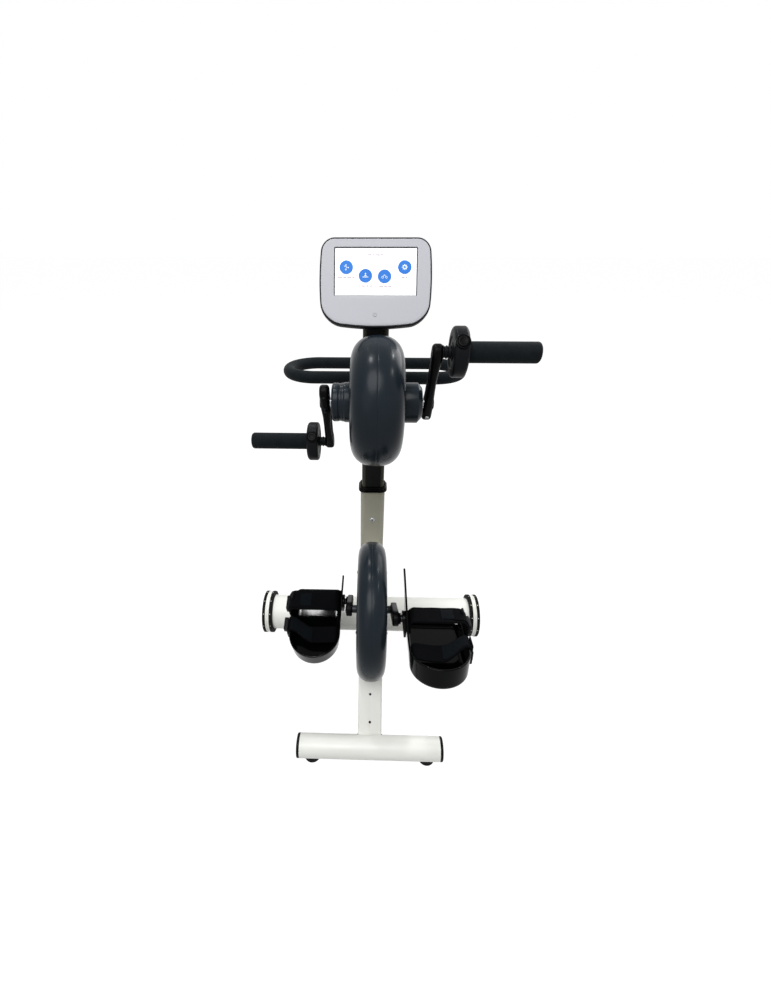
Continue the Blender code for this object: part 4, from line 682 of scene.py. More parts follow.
def roller(side, sign):
    """One roller: white wheel with a centre groove, and a rubber band with white ticks wrapped round each edge."""
    half = ROLLER_WIDTH / 2
    band, wrap, tread = 0.0084, 0.013, 0.0028
    low, inside, face = ROLLER_R - 0.0008, ROLLER_R - wrap - 0.0002, half - 0.0004
    at = np.array((sign * (REAR_TUBE_LENGTH / 2 + RUNNING + half), REAR_Y, REAR_Z))
    out, body = sign * X_AXIS, "roller_" + side
    profile = [(AXLE_R + RUNNING, half - 0.001), (0.016, half - 0.001), (0.017, half - 0.004), (0.042, half - 0.004),
               (0.044, face), (inside, face), (inside, half - tread), (low - tread, half - tread),
               (low - tread, half - band), (low, half - band), (low, 0.0020), (low - ROLLER_GROOVE, 0.0006)]
    turned("roller_wheel_" + side, mirrored(profile), at, out, PAINT, body, 0.0006, fine=2, steps=96, ring=True,
           stands_for="rear_roller_" + side)
    shelf = half - tread + 0.0002
    profile = fillet([(ROLLER_R - wrap, half), (ROLLER_R, half), (ROLLER_R, half - band),
                      (ROLLER_R - tread, half - band), (ROLLER_R - tread, shelf), (ROLLER_R - wrap, shelf)],
                     0.0010, 3, True)
    turns = np.radians(np.arange(0, 360, 36))
    for mark, place in (("inner", -1), ("outer", 1)):
        turned("roller_band_%s_%s" % (mark, side), profile * (1, place), at, out, RUBBER, body, steps=128, ring=True)
        ticks = []
        for away in np.column_stack([0 * turns, np.cos(turns), np.sin(turns)]):
            middle = at + away * (ROLLER_R - 0.0006) + place * (half - band * 0.55) * out
            ticks.append(box_at(middle, (0.0028, 0.0024, 0.0012), 0.0003, (X_AXIS, np.cross(X_AXIS, away), away)))
        piece("roller_ticks_%s_%s" % (mark, side), ticks, PAINT, body)


# Column and mast

def tube(outer, wall, foot, top, count):
    """A tube from an outline, up its outside and down its inside; foot gives its lower end's height along Y."""
    inner = inset(outer, wall)
    rows = [(flat, foot(flat[:, 1]) * (1 - t) + top * t)
            for flat, shares in ((outer, np.linspace(0, 1, count)), (inner, np.linspace(1, 0, count))) for t in shares]
    return surface(layers(rows), ring=True)


def column():
    """Outer column, coped onto the rear tube, its domed screw, the two-bead collar and the clamp knob."""
    outline = dense(rectangle(COLUMN_WIDTH, COLUMN_DEPTH, COLUMN_EDGE, 12), 0.003) + (0, COLUMN_Y)
    wall = tube(outline, COLUMN_WALL, lambda y: REAR_Z + chord(REAR_TUBE_R + SEAT, y - REAR_Y), COLUMN_TOP, 20)
    hole = lathed(sleeve(0, KNOB_STEM_R + RUNNING, -0.01, 0.01), (0, COLUMN_Y + COLUMN_DEPTH / 2, KNOB_Z), Y_AXIS, 40)
    # The column wears the greyed copy of the white paint: painted shade on its front
    piece("outer_column_fine", [wall], SHADED_COLUMN_PAINT, "stand", tools=[[hole]])
    screw = socket_screw((0, COLUMN_Y - COLUMN_DEPTH / 2, SCREW_Z), -Y_AXIS, SCREW_R, SCREW_HEAD)
    piece("column_screw", [screw], STEEL, "stand")
    inner_edge = COLUMN_EDGE - COLUMN_WALL
    hole = rectangle(MAST_WIDTH + 2 * RUNNING, MAST_DEPTH + 2 * RUNNING, inner_edge, 12) + (0, COLUMN_Y)
    proud = COLUMN_WALL + COLLAR_PROUD - RUNNING
    low, high = COLLAR_LOW, COLLAR_LOW + COLLAR_HIGH - 0.001
    section = fillet([(0, 0), (proud, 0), (proud, low), (proud - COLLAR_STEP, low), (proud - COLLAR_STEP, high),
                      (0, high)], 0.0026, 5, True)
    rows = [(inset(hole, -reach), COLUMN_TOP + SEAT + z) for reach, z in section]
    piece("column_collar_fine", [surface(layers(rows), ring=True)], GLOSS, "stand")
    knob()
    outline = dense(rectangle(MAST_WIDTH, MAST_DEPTH, inner_edge, 12), 0.003) + (0, COLUMN_Y)
    wall = tube(outline, MAST_WALL, lambda y: MAST_BOTTOM + 0 * y, MAST_TOP, 24)
    # The mast tube in the olive paint, with a black strip down its front, so the olive shows only at the rounded edges
    # as painted sheen
    piece("mast_tube_fine", [wall], EDGE_SHEEN_MAST_PAINT, "mast")
    middle = (0, COLUMN_Y - MAST_DEPTH / 2, (MAST_BOTTOM + MAST_TOP) / 2)
    strip = box_at(middle, (0.037, 0.0004, MAST_TOP - MAST_BOTTOM - 0.01), 0.0001)
    piece("mast_front_strip", [strip], MAST_FRONT, "mast")


def knob():
    """Lobed clamp knob with a dished cap and its steel stem, and the threaded boss it screws through.

    The knob's radius swings by a cosine of the lobes' number times the angle.
    """
    turn = np.linspace(0, 2 * pi, 144, endpoint=False)
    reach = KNOB_R - 0.0025 + 0.0025 * np.cos(KNOB_LOBES * turn)
    flat = np.column_stack([reach * np.cos(turn), reach * np.sin(turn)])
    tip, face = COLUMN_Y + MAST_DEPTH / 2 + SEAT, COLUMN_Y + COLUMN_DEPTH / 2
    back = face + KNOB_STAND
    head = surface(placed(raised(flat, 0, KNOB_DEPTH, 0.0035, 6), (0, back, KNOB_Z), *BACKWARD))
    dish = fillet([(0.0072, 0), (0.0072, 0.0015), (0.0055, 0.0015), (0.0045, 0.0004), (0, 0.0004), (0, -0.004),
                   (0.0072, -0.004)], 0.0006, 3, True)
    skirt = fillet([(KNOB_STEM_R, -0.0035), (0.0105, -0.0035), (0.0125, 0.002), (KNOB_STEM_R, 0.002)], 0.0008, 3, True)
    piece("lock_knob_fine", [head, lathed(skirt, (0, back, KNOB_Z), Y_AXIS, 48, True)], BLACK, "lock_knob",
          "mast_lock_knob")
    turned("lock_knob_disc", dish, (0, back + KNOB_DEPTH - 0.0006, KNOB_Z), Y_AXIS, SILVER, "lock_knob", steps=48)
    end = back - tip + 0.01
    stem = [(0, 0), (KNOB_STEM_R - 0.001, 0), (KNOB_STEM_R, 0.001), (KNOB_STEM_R, end), (0, end)]
    turned("lock_knob_stem", stem, (0, tip, KNOB_Z), Y_AXIS, STEEL, "lock_knob", 0.0004, fine=2, steps=40)
    # The boss takes the column's greyed paint, painted shade like the column's
    turned("knob_boss", sleeve(KNOB_STEM_R + RUNNING, 0.011, 0, 0.0065), (0, face, KNOB_Z), Y_AXIS, SHADED_COLUMN_PAINT,
           "stand", 0.001, steps=48, ring=True)


def inlet():
    """Mains inlet on the column's back: rounded body, recess with three pins."""
    front = COLUMN_Y + COLUMN_DEPTH / 2 + SEAT
    at = (0, front, INLET_Z)
    body = raised(rectangle(INLET_WIDTH, INLET_HEIGHT, 0.003, 8), 0, INLET_DEPTH, 0.001, 3)
    wide, tall = INLET_WIDTH / 2 - INLET_RIM, INLET_HEIGHT / 2 - INLET_RIM
    shoulder, narrow = tall * 0.35, wide * 0.62
    mouth = np.array([(-wide, -tall), (wide, -tall), (wide, shoulder), (narrow, tall), (-narrow, tall),
                      (-wide, shoulder)])
    mouth = surface(placed(raised(mouth, INLET_RIM, INLET_DEPTH + 0.004), at, *BACKWARD))
    piece("power_inlet_fine", [surface(placed(body, at, *BACKWARD))], BLACK, "stand", tools=[[mouth]])
    for i, (x, z) in enumerate(((-0.007, 0.002), (0.007, 0.002), (0, -0.0035))):
        pin = box_at((x, front + INLET_RIM + 0.0045, INLET_Z + z), (0.002, 0.004, 0.009), 0.0004, BACKWARD)
        piece("inlet_pin_%d" % (i + 1), [pin], STEEL, "stand")


# Disc housings

def dome(reach, half, rim, count):
    """The crowned rim of a housing, from its side face out to the seam: a quarter circle's parts to the 0.85."""
    turn = pi / 2 * (1 - np.linspace(0, 1, count))
    out, along = np.maximum(np.cos(turn), 0) ** 0.85, np.sin(turn) ** 0.85
    return list(zip(reach - rim + rim * out, half * along))


def housing_section(reach, half, rim, wall, bore, boss, rings):
    """One shell's section: side face with shallow rings, crowned rim, rolled seam edge, inner wall and boss."""
    seam = 0.00004
    outer = [p for p in dome(reach, half, rim, 40)[:-1] if p[1] > 0.0006]
    outer += [(reach - 0.00001, 0.0004), (reach - 0.00008, seam + 0.0001), (reach - 0.0002, seam)]
    inner = [p for p in dome(reach - wall, half - wall, rim - wall, 20)[:-1] if p[1] > 0.001] + [(reach - wall, seam)]
    face = [(bore, half)]
    for low, high, depth in rings:
        face += [(low, half), (low + 0.0008, half - depth), (high - 0.0008, half - depth), (high, half)]
    deep = half - wall
    return face + outer + inner[::-1] + [(bore + wall, deep), (bore + wall, deep - boss), (bore, deep - boss)]


def leg_unit():
    """Leg housing shells, their side screws, bracket and bolts."""
    front, back = LEG_Y + LEG_R - LEG_BRACKET_REACH, COLUMN_Y - COLUMN_DEPTH / 2 - SEAT
    middle = (0, (front + back) / 2, LEG_Z)
    size = np.array((LEG_BRACKET_WIDTH, LEG_BRACKET_HEIGHT, back - front))
    piece("leg_bracket_fine", [box_at(middle, size, 0.001, BACKWARD, BEAM_EDGE)], PAINT, "stand")
    slot = box_at(middle, size + (2 * SEAT, 2 * SEAT, 0.002), 0.0005, BACKWARD, BEAM_EDGE)
    length = (STRUT_TOP_Z - STRUT_ROOT[2]) / sin(STRUT_LEAN) + STRUT_DEPTH
    centre = STRUT_ROOT + STRUT_ALONG * (length / 2 - STRUT_DEPTH) + STRUT_BACK * STRUT_DEPTH / 2
    strut = box_at(centre, np.array((STRUT_WIDTH, STRUT_DEPTH, length)) + 2 * SEAT, 0.0004,
                   (X_AXIS, STRUT_BACK, -STRUT_ALONG), BEAM_EDGE)
    rings = [(0.034, 0.036, 0.0007), (0.094, 0.0975, 0.0009)]
    section = housing_section(LEG_R, LEG_HALF, LEG_RIM, LEG_WALL, LEG_BEARING_R + SEAT, LEG_BOSS, rings)
    for side, sign in SIDES:
        out = sign * X_AXIS
        turned("leg_housing_fine_" + side, section, (0, LEG_Y, LEG_Z), out, SHELL, "stand", steps=160, ring=True,
               tools=[[strut], [slot]])
        places = arc((LEG_Y, LEG_Z), 0.108, 90, 378, 5)
        screws("leg_screw_" + side, [(sign * (LEG_HALF - 0.0002), *place) for place in places], out, 0.0035, 0.0016,
               DARK_STEEL, "stand")
        places = [(sign * LEG_BRACKET_WIDTH / 2, back - 0.02, LEG_Z + z) for z in (-0.018, 0.018)]
        screws("bracket_bolt_" + side, places, out, 0.0055, 0.0035, STEEL, "stand")


def crank_way(sign, angle):
    """The directions along a crank and across it; the left one points half a turn on."""
    angle += 0 if sign > 0 else pi
    return np.array((0, cos(angle), sin(angle))), np.array((0, -sin(angle), cos(angle)))


def leg_cranks():
    """Leg cranks with rounded edges, a milled pocket, a shaft bolt, and the pedal spindle with its collar."""
    body = "leg_crankset"
    outer = LEG_CRANK_IN + LEG_CRANK_THICK
    reach, half = outer - 0.002, LEG_CRANK_THICK / 2
    turned("leg_crankshaft_fine", sleeve(0, LEG_SHAFT_R, reach, -reach), (0, LEG_Y, LEG_Z), X_AXIS, DARK_STEEL, body,
           0.001)
    cap = [(0, 0.0026), (0.0035, 0.0026), (0.0045, 0.0016), (0.0085, 0.0022), (0.0105, 0.0006), (0.0105, -0.001),
           (0, -0.001)]
    bore, groove = PEDAL_R - 0.001, PEDAL_COLLAR_R - 0.0012
    collar = [(bore, -0.002), (PEDAL_COLLAR_R, -0.002), (PEDAL_COLLAR_R, 0.0016), (groove, 0.0022), (groove, 0.0030),
              (PEDAL_COLLAR_R, 0.0036), (PEDAL_COLLAR_R - 0.002, PEDAL_COLLAR), (bore, PEDAL_COLLAR)]
    spindle = sleeve(0, PEDAL_R, FOOT_IN + FOOT_WIDTH / 2 - wall_x(0, True) + FOOT_WALL - 0.001 - outer, -0.002)
    flat = stroke((0, 0), (LEG_CRANK, 0), LEG_CRANK_R, count=33)
    pocket_flat = stroke((0.026, 0), (LEG_CRANK - 0.026, 0), 0.0062, count=17)
    for side, sign in SIDES:
        along, across = crank_way(sign, LEG_CRANK_ANGLE)
        frame_at = (sign * (LEG_CRANK_IN + half), LEG_Y, LEG_Z), along, across, X_AXIS
        bar = surface(placed(raised(flat, -half, half, 0.0028, 6), *frame_at))
        pocket = surface(placed(raised(pocket_flat, sign * half - 0.0012, sign * half + 0.0012), *frame_at))
        piece("leg_crank_fine_" + side, [bar], CRANK, body, tools=[[pocket]])
        at, out = np.array((sign * (outer - 0.0004), LEG_Y, LEG_Z)), sign * X_AXIS
        end = at + along * LEG_CRANK
        turned("leg_crank_cap_" + side, cap, at, out, BLACK, body, 0.0006)
        turned("pedal_collar_" + side, collar, end, out, CRANK, body, 0.0004, fine=2, ring=True)
        turned("pedal_spindle_" + side, spindle, end, out, DARK_STEEL, body, 0.0008, steps=48)


# Feet

def wall_x(height, inner):
    """How far a side wall's outer face stands from the shell's middle at a height above the pedal axis."""
    return FOOT_WIDTH / 2 + (height + FOOT_SOLE - FOOT_TURN) * (FIN_LEAN if inner else WALL_FLARE)


def rim_height(y, inner):
    """The shell's wall top above the pedal axis: low at the toe, level round the heel, a tall fin inside.

    It rises from the toe by a smooth step, and the fin by the sine of the share of its half length, to the 1.6.
    """
    heel, toe = FOOT_CUP - FOOT_SOLE, FOOT_LIP - FOOT_SOLE
    height = toe + (heel - toe) * smooth((FOOT_TOE - y) / (FOOT_TOE * 0.9))
    if inner:
        share = np.clip(1 - np.abs(y - FIN_Y) / FIN_HALF, 0, 1)
        height = height + (FOOT_FIN - height) * np.sin(share * pi / 2) ** 1.6
    return height


def smooth(share):
    """A smooth step from 0 to 1: three times the square less twice the cube."""
    share = np.clip(share, 0, 1)
    return share * share * (3 - 2 * share)


def foot_frame(side, sign):
    """The pitched foot's origin and axes; its local x points away from the trainer on either side."""
    along = crank_way(sign, LEG_CRANK_ANGLE)[0]
    c, s = cos(FOOT_PITCH[side]), sin(FOOT_PITCH[side])
    origin = np.array((sign * (FOOT_IN + FOOT_WIDTH / 2), LEG_Y, LEG_Z)) + LEG_CRANK * along
    return origin, (sign * X_AXIS, np.array((0, c, s)), np.array((0, -s, c)))


def foot_plan():
    """The shell's plan, anticlockwise from the inner toe: inner side, heel, outer side and toe, with round corners."""
    half, corner = FOOT_WIDTH / 2, FOOT_TURN + 0.002
    low, high = half - FOOT_HEEL, FOOT_TOE - corner
    side = np.linspace(high, low, 68)[:-1]
    front = np.linspace(half - corner, corner - half, 36)[1:-1]
    return np.concatenate([
        np.column_stack([np.full(67, -half), side]), arc((0, low), half, 180, 360, 73),
        np.column_stack([np.full(67, half), side[::-1]]), arc((half - corner, high), corner, 0, 90, 12)[1:],
        np.column_stack([front, np.full(34, FOOT_TOE)]), arc((corner - half, high), corner, 90, 180, 12)[:-1]])


def foot_shell(side, sign):
    """Moulded foot shell with an even wall and a round rim.

    Rows of the outside run out along the flat sole, up a quarter circle at its edge, and up the wall to the
    rim's height, leaning out with height on the fin's side and in on the other. The inside is the outside
    moved by the wall's thickness along its normal, found from the differences between rows and columns.
    """
    plan = foot_plan()
    centre = np.array((0, (FOOT_TOE - FOOT_HEEL) / 2))
    x, y = plan.T
    top = np.where(np.arange(len(plan)) < 67, rim_height(y, True), rim_height(y, False))
    sole = inset(plan, FOOT_TURN)
    rows = [(centre + (sole - centre) * share, -FOOT_SOLE) for share in np.linspace(0, 1, 8)[:-1]]
    rows += rounded_edge(plan, FOOT_TURN, -FOOT_SOLE, 8)
    base = FOOT_TURN - FOOT_SOLE
    for share in np.linspace(0, 1, 25)[1:]:
        z = base + (top - base) * share
        flare = (z - base) * np.where(x < 0, FIN_LEAN, -WALL_FLARE) * np.abs(x) / (FOOT_WIDTH / 2)
        rows.append((np.column_stack([x - flare, y]), z))
    outer = layers(rows)
    skin = unit(np.cross(np.roll(outer, -1, 1) - np.roll(outer, 1, 1), np.gradient(outer, axis=0)))
    inside = outer + skin * np.sign(skin[3, 0, 2]) * FOOT_WALL
    inside[0] = outer[0] + Z_AXIS * FOOT_WALL
    middle, reach = (outer[-1] + inside[-1]) / 2, (outer[-1] - inside[-1]) / 2
    edge = [middle + reach * cos(a) + Z_AXIS * (FOOT_WALL * 0.42) * (sin(a) - 0.6)
            for a in np.linspace(0.2, pi - 0.2, 7)]
    for skin in (outer, inside):
        skin[-1] -= Z_AXIS * FOOT_WALL * 0.25
    verts, faces = surface(np.concatenate([outer, np.array(edge), inside[::-1]]), caps=False)
    origin, axes = foot_frame(side, sign)
    body, out = "foot_" + side, sign * X_AXIS
    hole = lathed(sleeve(0, PEDAL_R + RUNNING, 0.02, FOOT_IN + 0.02), (0, origin[1], origin[2]), out, 48)
    piece("foot_shell_fine_" + side, [(placed(verts, origin, *axes), faces)], GLOSS, body, sharp=50, tools=[[hole]])
    drop = FOOT_SOLE * 0.72
    flank = [(-BOSS_R * 0.9, -FOOT_SOLE * 0.35), (-0.006, -drop), (0.006, -drop), (BOSS_R * 0.9, -FOOT_SOLE * 0.35)]
    flat = arc((0, 0), BOSS_R, 0, 180, 33)
    flat = np.concatenate([flat, fillet([flat[32], *flank, flat[0]], 0.006, 4)[1:-1]])
    gusset = raised(flat, 0, FOOT_BOSS, 0.0012, 3)
    slope = np.clip(-gusset[..., 1] / drop, 0, 1)
    gusset[..., 2] = np.maximum(gusset[..., 2], FOOT_BOSS * 0.55 * slope)
    low = sign * (FOOT_IN + FOOT_WIDTH / 2 - wall_x(0, True) + FOOT_WALL / 2 - FOOT_BOSS)
    gusset = surface(placed(gusset, (low, origin[1], origin[2]), axes[1], axes[2], out))
    piece("pedal_boss_" + side, [gusset], GLOSS, body, tools=[[hole]])


def strap_path():
    """The instep strap's middle line in the foot's own x and z."""
    bend = 0.014
    low, high = (FOOT_WALL + SEAT + STRAP_THICK / 2 - wall_x(z, True) for z in (STRAP_LOW, STRAP_TOP - bend))
    out = wall_x(FOOT_CUP - FOOT_SOLE, False) + SEAT + STRAP_THICK / 2
    points = [(low, STRAP_LOW), (low * 0.5 + high * 0.5, (STRAP_LOW + STRAP_TOP - bend) / 2)]
    points += list(arc((high + bend, STRAP_TOP - bend), bend, 180, 90, 14))
    points += [(x, STRAP_TOP) for x in np.linspace(high + bend, out - bend, 26)[1:-1]]
    points += list(arc((out - bend, STRAP_TOP - bend), bend, 90, 0, 14))
    points += [(out, z) for z in np.linspace(STRAP_TOP - bend, STRAP_OUT_LOW, 12)[1:]]
    return np.array(points)


def across_path(points):
    """The direction across a flat path at each of its points."""
    along = unit(np.gradient(points, axis=0))
    return np.stack([-along[:, 1], along[:, 0]], 1)


def heel_path(above=0.0):
    """The heel strap's middle line: down the inner wall, a slack crossing, over the outer rim and into its pad.

    The crossing rises by the cube of its place, less a sine's sag, and above raises the line by a distance.
    """
    rim, bend = FOOT_CUP - FOOT_SOLE, 0.006
    top = rim + SEAT + STRAP_THICK / 2 + 0.0008
    out = wall_x(rim, False) + SEAT + STRAP_THICK / 2
    inner = FOOT_WALL + SEAT + STRAP_THICK / 2 - wall_x(rim - 0.02, True)
    low = top - 0.009
    points = [(inner, z) for z in np.linspace(low - 0.014, low - bend, 4)[:-1]]
    points += list(arc((inner + bend, low - bend), bend, 180, 90, 8))
    x = np.linspace(inner + bend, out - bend, 30)[1:-1]
    share = (x - x[0]) / (x[-1] - x[0])
    points += list(zip(x, low + (top - low) * share ** 3 - 0.006 * np.sin(pi * share)))
    points += list(arc((out - bend, top - bend), bend, 90, 0, 10))
    points += [(out, z) for z in np.linspace(top - bend, rim - 0.011, 4)[1:]]
    points = np.array(points)
    return points + above * across_path(points)


def heel_lay(grid):
    """The heel strap's lie: drawn back and tilted by a smooth step as it crosses, narrowed with the round heel.

    The narrowing is by the heel's own chord, less the wall, over the shell's full half width.
    """
    half, low, wall = FOOT_WIDTH / 2, FOOT_WIDTH / 2 - FOOT_HEEL, FOOT_WALL * 1.1
    share = smooth((0.056 - grid[..., 0]) / 0.050)
    laid = grid.copy()
    laid[..., 2] += (grid[..., 1] - HEEL_STRAP_Y) * 0.28 * share
    laid[..., 1] += HEEL_DRAW * share
    laid[..., 0] *= (chord(half, np.maximum(low - laid[..., 1], 0)) - wall) / (half - wall)
    return laid


def strap_band(points, width, thick, middle_y, wave=0.0):
    """A strap of even thickness along a flat path, with soft edges: closed round its section, capped at its ends.

    Each row is the section's rectangle set across the path's own normal; wave times the sine of the row's
    number and of the place across the strap lets it lie a little unevenly.
    """
    section = dense(rectangle(width, thick, thick * 0.42, 5), 0.005)
    sag = wave * np.sin(np.arange(len(points)) * 0.55)[:, None] * np.sin(section[:, 0] / width * 5)
    flat = points[:, None] + (section[:, 1] + sag)[..., None] * across_path(points)[:, None]
    side = np.broadcast_to(section[:, 0] + middle_y, flat.shape[:2])
    return np.stack([flat[..., 0], side, flat[..., 1]], 2)


def strap(name, points, grid, foot, material=WEBBING):
    """A strap piece; webbing gets a UV map in metres along its path and across it for the weave."""
    origin, axes, body = foot
    mesh = piece(name, [surface(placed(grid, origin, *axes))], material, body).data
    if material is not WEBBING:
        return
    spots = np.empty(len(mesh.vertices) * 3)
    mesh.vertices.foreach_get("co", spots)
    spots = (spots.reshape(-1, 3) - (0, DATUM_Y, 0) - origin) @ np.array(axes).T
    length = np.concatenate([[0], np.cumsum(np.linalg.norm(np.diff(points, axis=0), axis=1))])
    nearest = np.argmin(np.linalg.norm(spots[:, None, ::2] - points[None], axis=2), 1)
    corners = np.empty(len(mesh.loops), int)
    mesh.loops.foreach_get("vertex_index", corners)
    layer = mesh.uv_layers.new(name="UVMap")
    layer.data.foreach_set("uv", np.column_stack([length[nearest], spots[:, 1]])[corners].ravel())


def straps(side, sign):
    """Instep strap with its loop patch, folded tab and pull, and the heel strap with its patch, pad and buckle."""
    origin, axes = foot_frame(side, sign)
    body = "foot_" + side
    foot = (origin, axes, body)

    def block(name, at, size, edge):
        piece(name + side, [box_at(placed(at, origin, *axes), size, edge, axes)], BLACK, body)

    points = strap_path()
    strap("instep_strap_fine_" + side, points, strap_band(points, STRAP_WIDTH, STRAP_THICK, STRAP_Y, 0.00035), foot)
    out = points[-1][0]
    skin = STRAP_THICK / 2 + 0.0002
    patch = np.array([(x, STRAP_TOP + skin + 0.0006) for x in np.linspace(out - 0.052, out - 0.020, 12)])
    strap("loop_patch_" + side, patch, strap_band(patch, STRAP_WIDTH * 0.62, PATCH_THICK, STRAP_Y), foot, PILE)
    lift, bend = skin + 0.001, 0.014
    lap = [(x, STRAP_TOP + lift) for x in np.linspace(out - 0.026, out - bend, 6)]
    lap += list(arc((out - bend, STRAP_TOP - bend), bend + lift, 88, 2, 16))
    lap = np.array(lap + [(out + lift, z) for z in np.linspace(-0.002, -0.024, 9)])
    strap("strap_tab_" + side, lap, strap_band(lap, STRAP_WIDTH * 0.78, 0.0020, STRAP_Y), foot)
    block("strap_pull_", (out + skin + 0.0040, STRAP_Y, -0.009), (0.0080, STRAP_WIDTH * 0.7, 0.022), 0.0020)
    block("strap_nub_", (out - 0.006, STRAP_Y + 0.008, STRAP_TOP + 0.0050), (0.005, 0.016, 0.009), 0.0020)

    points = heel_path()
    strap("heel_band_" + side, points, heel_lay(strap_band(points, HEEL_BAND, STRAP_THICK, HEEL_STRAP_Y, 0.0003)), foot)
    patch = heel_path(STRAP_THICK / 2 + 0.0006)[-27:-11]
    grid = heel_lay(strap_band(patch, HEEL_BAND * 0.8, PATCH_THICK, HEEL_STRAP_Y))
    strap("heel_patch_" + side, patch, grid, foot, PILE)
    proud = 0.0100 if side == "left" else 0.0035
    at = (out + skin + proud / 2 - 0.0003, HEEL_STRAP_Y, -0.0190)
    block("heel_pull_", at, (proud, HEEL_BAND * 0.85, 0.0160), 0.0016)
    reach = wall_x(FOOT_CUP - FOOT_SOLE, False) + SEAT + HEEL_STRAP_THICK / 2
    at = placed((reach, HEEL_STRAP_Y, HEEL_STRAP_HEIGHT / 2 - FOOT_SOLE + FOOT_TURN), origin, *axes)
    outward = (axes[1], axes[2], axes[0])
    pad = box_at(at, (HEEL_STRAP_LENGTH, HEEL_STRAP_HEIGHT, HEEL_STRAP_THICK), 0.0022, outward, 0.006)
    piece("heel_pad_" + side, [pad], BLACK, body, "heel_strap_" + side)
    loop = rectangle(0.026, 0.022, 0.003, 6)
    hole = inset(loop, 0.0038)
    rows = layers([(loop, 0.0), (loop, 0.0026), (inset(loop, 0.0008), 0.0034), (inset(loop, 0.0030), 0.0034),
                   (hole, 0.0028), (hole, 0.0)])
    top = at + axes[0] * (HEEL_STRAP_THICK / 2 - 0.0010)
    piece("buckle_" + side, [surface(placed(rows, top, *outward), ring=True)], CRANK, body)
    bars = [box_at(top + axes[1] * shift + axes[0] * 0.0016, (0.0026, 0.018, 0.0026), 0.0008, outward)
            for shift in (-0.0035, 0.0045)]
    piece("buckle_bars_" + side, bars, CRANK, body)


# Arm unit

def arm_unit():
    """Arm housing shells cut round the mast, and the ribbed hubs on their sides."""
    at = (ARM_X, ARM_Y, ARM_Z)
    slot = box_at((0, COLUMN_Y, ARM_Z), (MAST_WIDTH + 2 * SEAT, MAST_DEPTH + 2 * SEAT, 3 * ARM_R), 0.0004,
                  corner=COLUMN_EDGE - COLUMN_WALL)
    section = housing_section(ARM_R, ARM_HALF, ARM_RIM, ARM_WALL, ARM_BEARING_R + SEAT, ARM_BOSS,
                              [(HUB_R + 0.004, HUB_R + 0.006, 0.0007)])
    near, far = ARM_HALF + SEAT, ARM_HALF + SEAT + HUB_LENGTH
    bore, hollow, step = ARM_SHAFT_R + RUNNING, HUB_R - HUB_WALL, HUB_R - 0.0015
    neck = step - 0.0010
    outside = {"left": [(HUB_R - 0.005, far), (step, far - 0.0035), (step, far - 0.0125), (neck, far - 0.0140),
                        (neck, far - 0.0185), (step, far - 0.0200), (step, near + 0.0125), (HUB_R, near + 0.0105)],
               "right": [(HUB_R - 0.009, far), (HUB_R, far - 0.008)]}
    for side, sign in SIDES:
        turned("arm_housing_fine_" + side, section, at, sign * X_AXIS, SHELL, "mast", steps=160, ring=True,
               tools=[[slot]])
        profile = [(bore, far), *outside[side], (HUB_R, near), (hollow, near), (hollow, far - HUB_WALL),
                   (bore, far - HUB_WALL)]
        turned("arm_hub_fine_" + side, profile, at, sign * X_AXIS, SHELL, "mast", 0.0009, steps=128, ring=True)


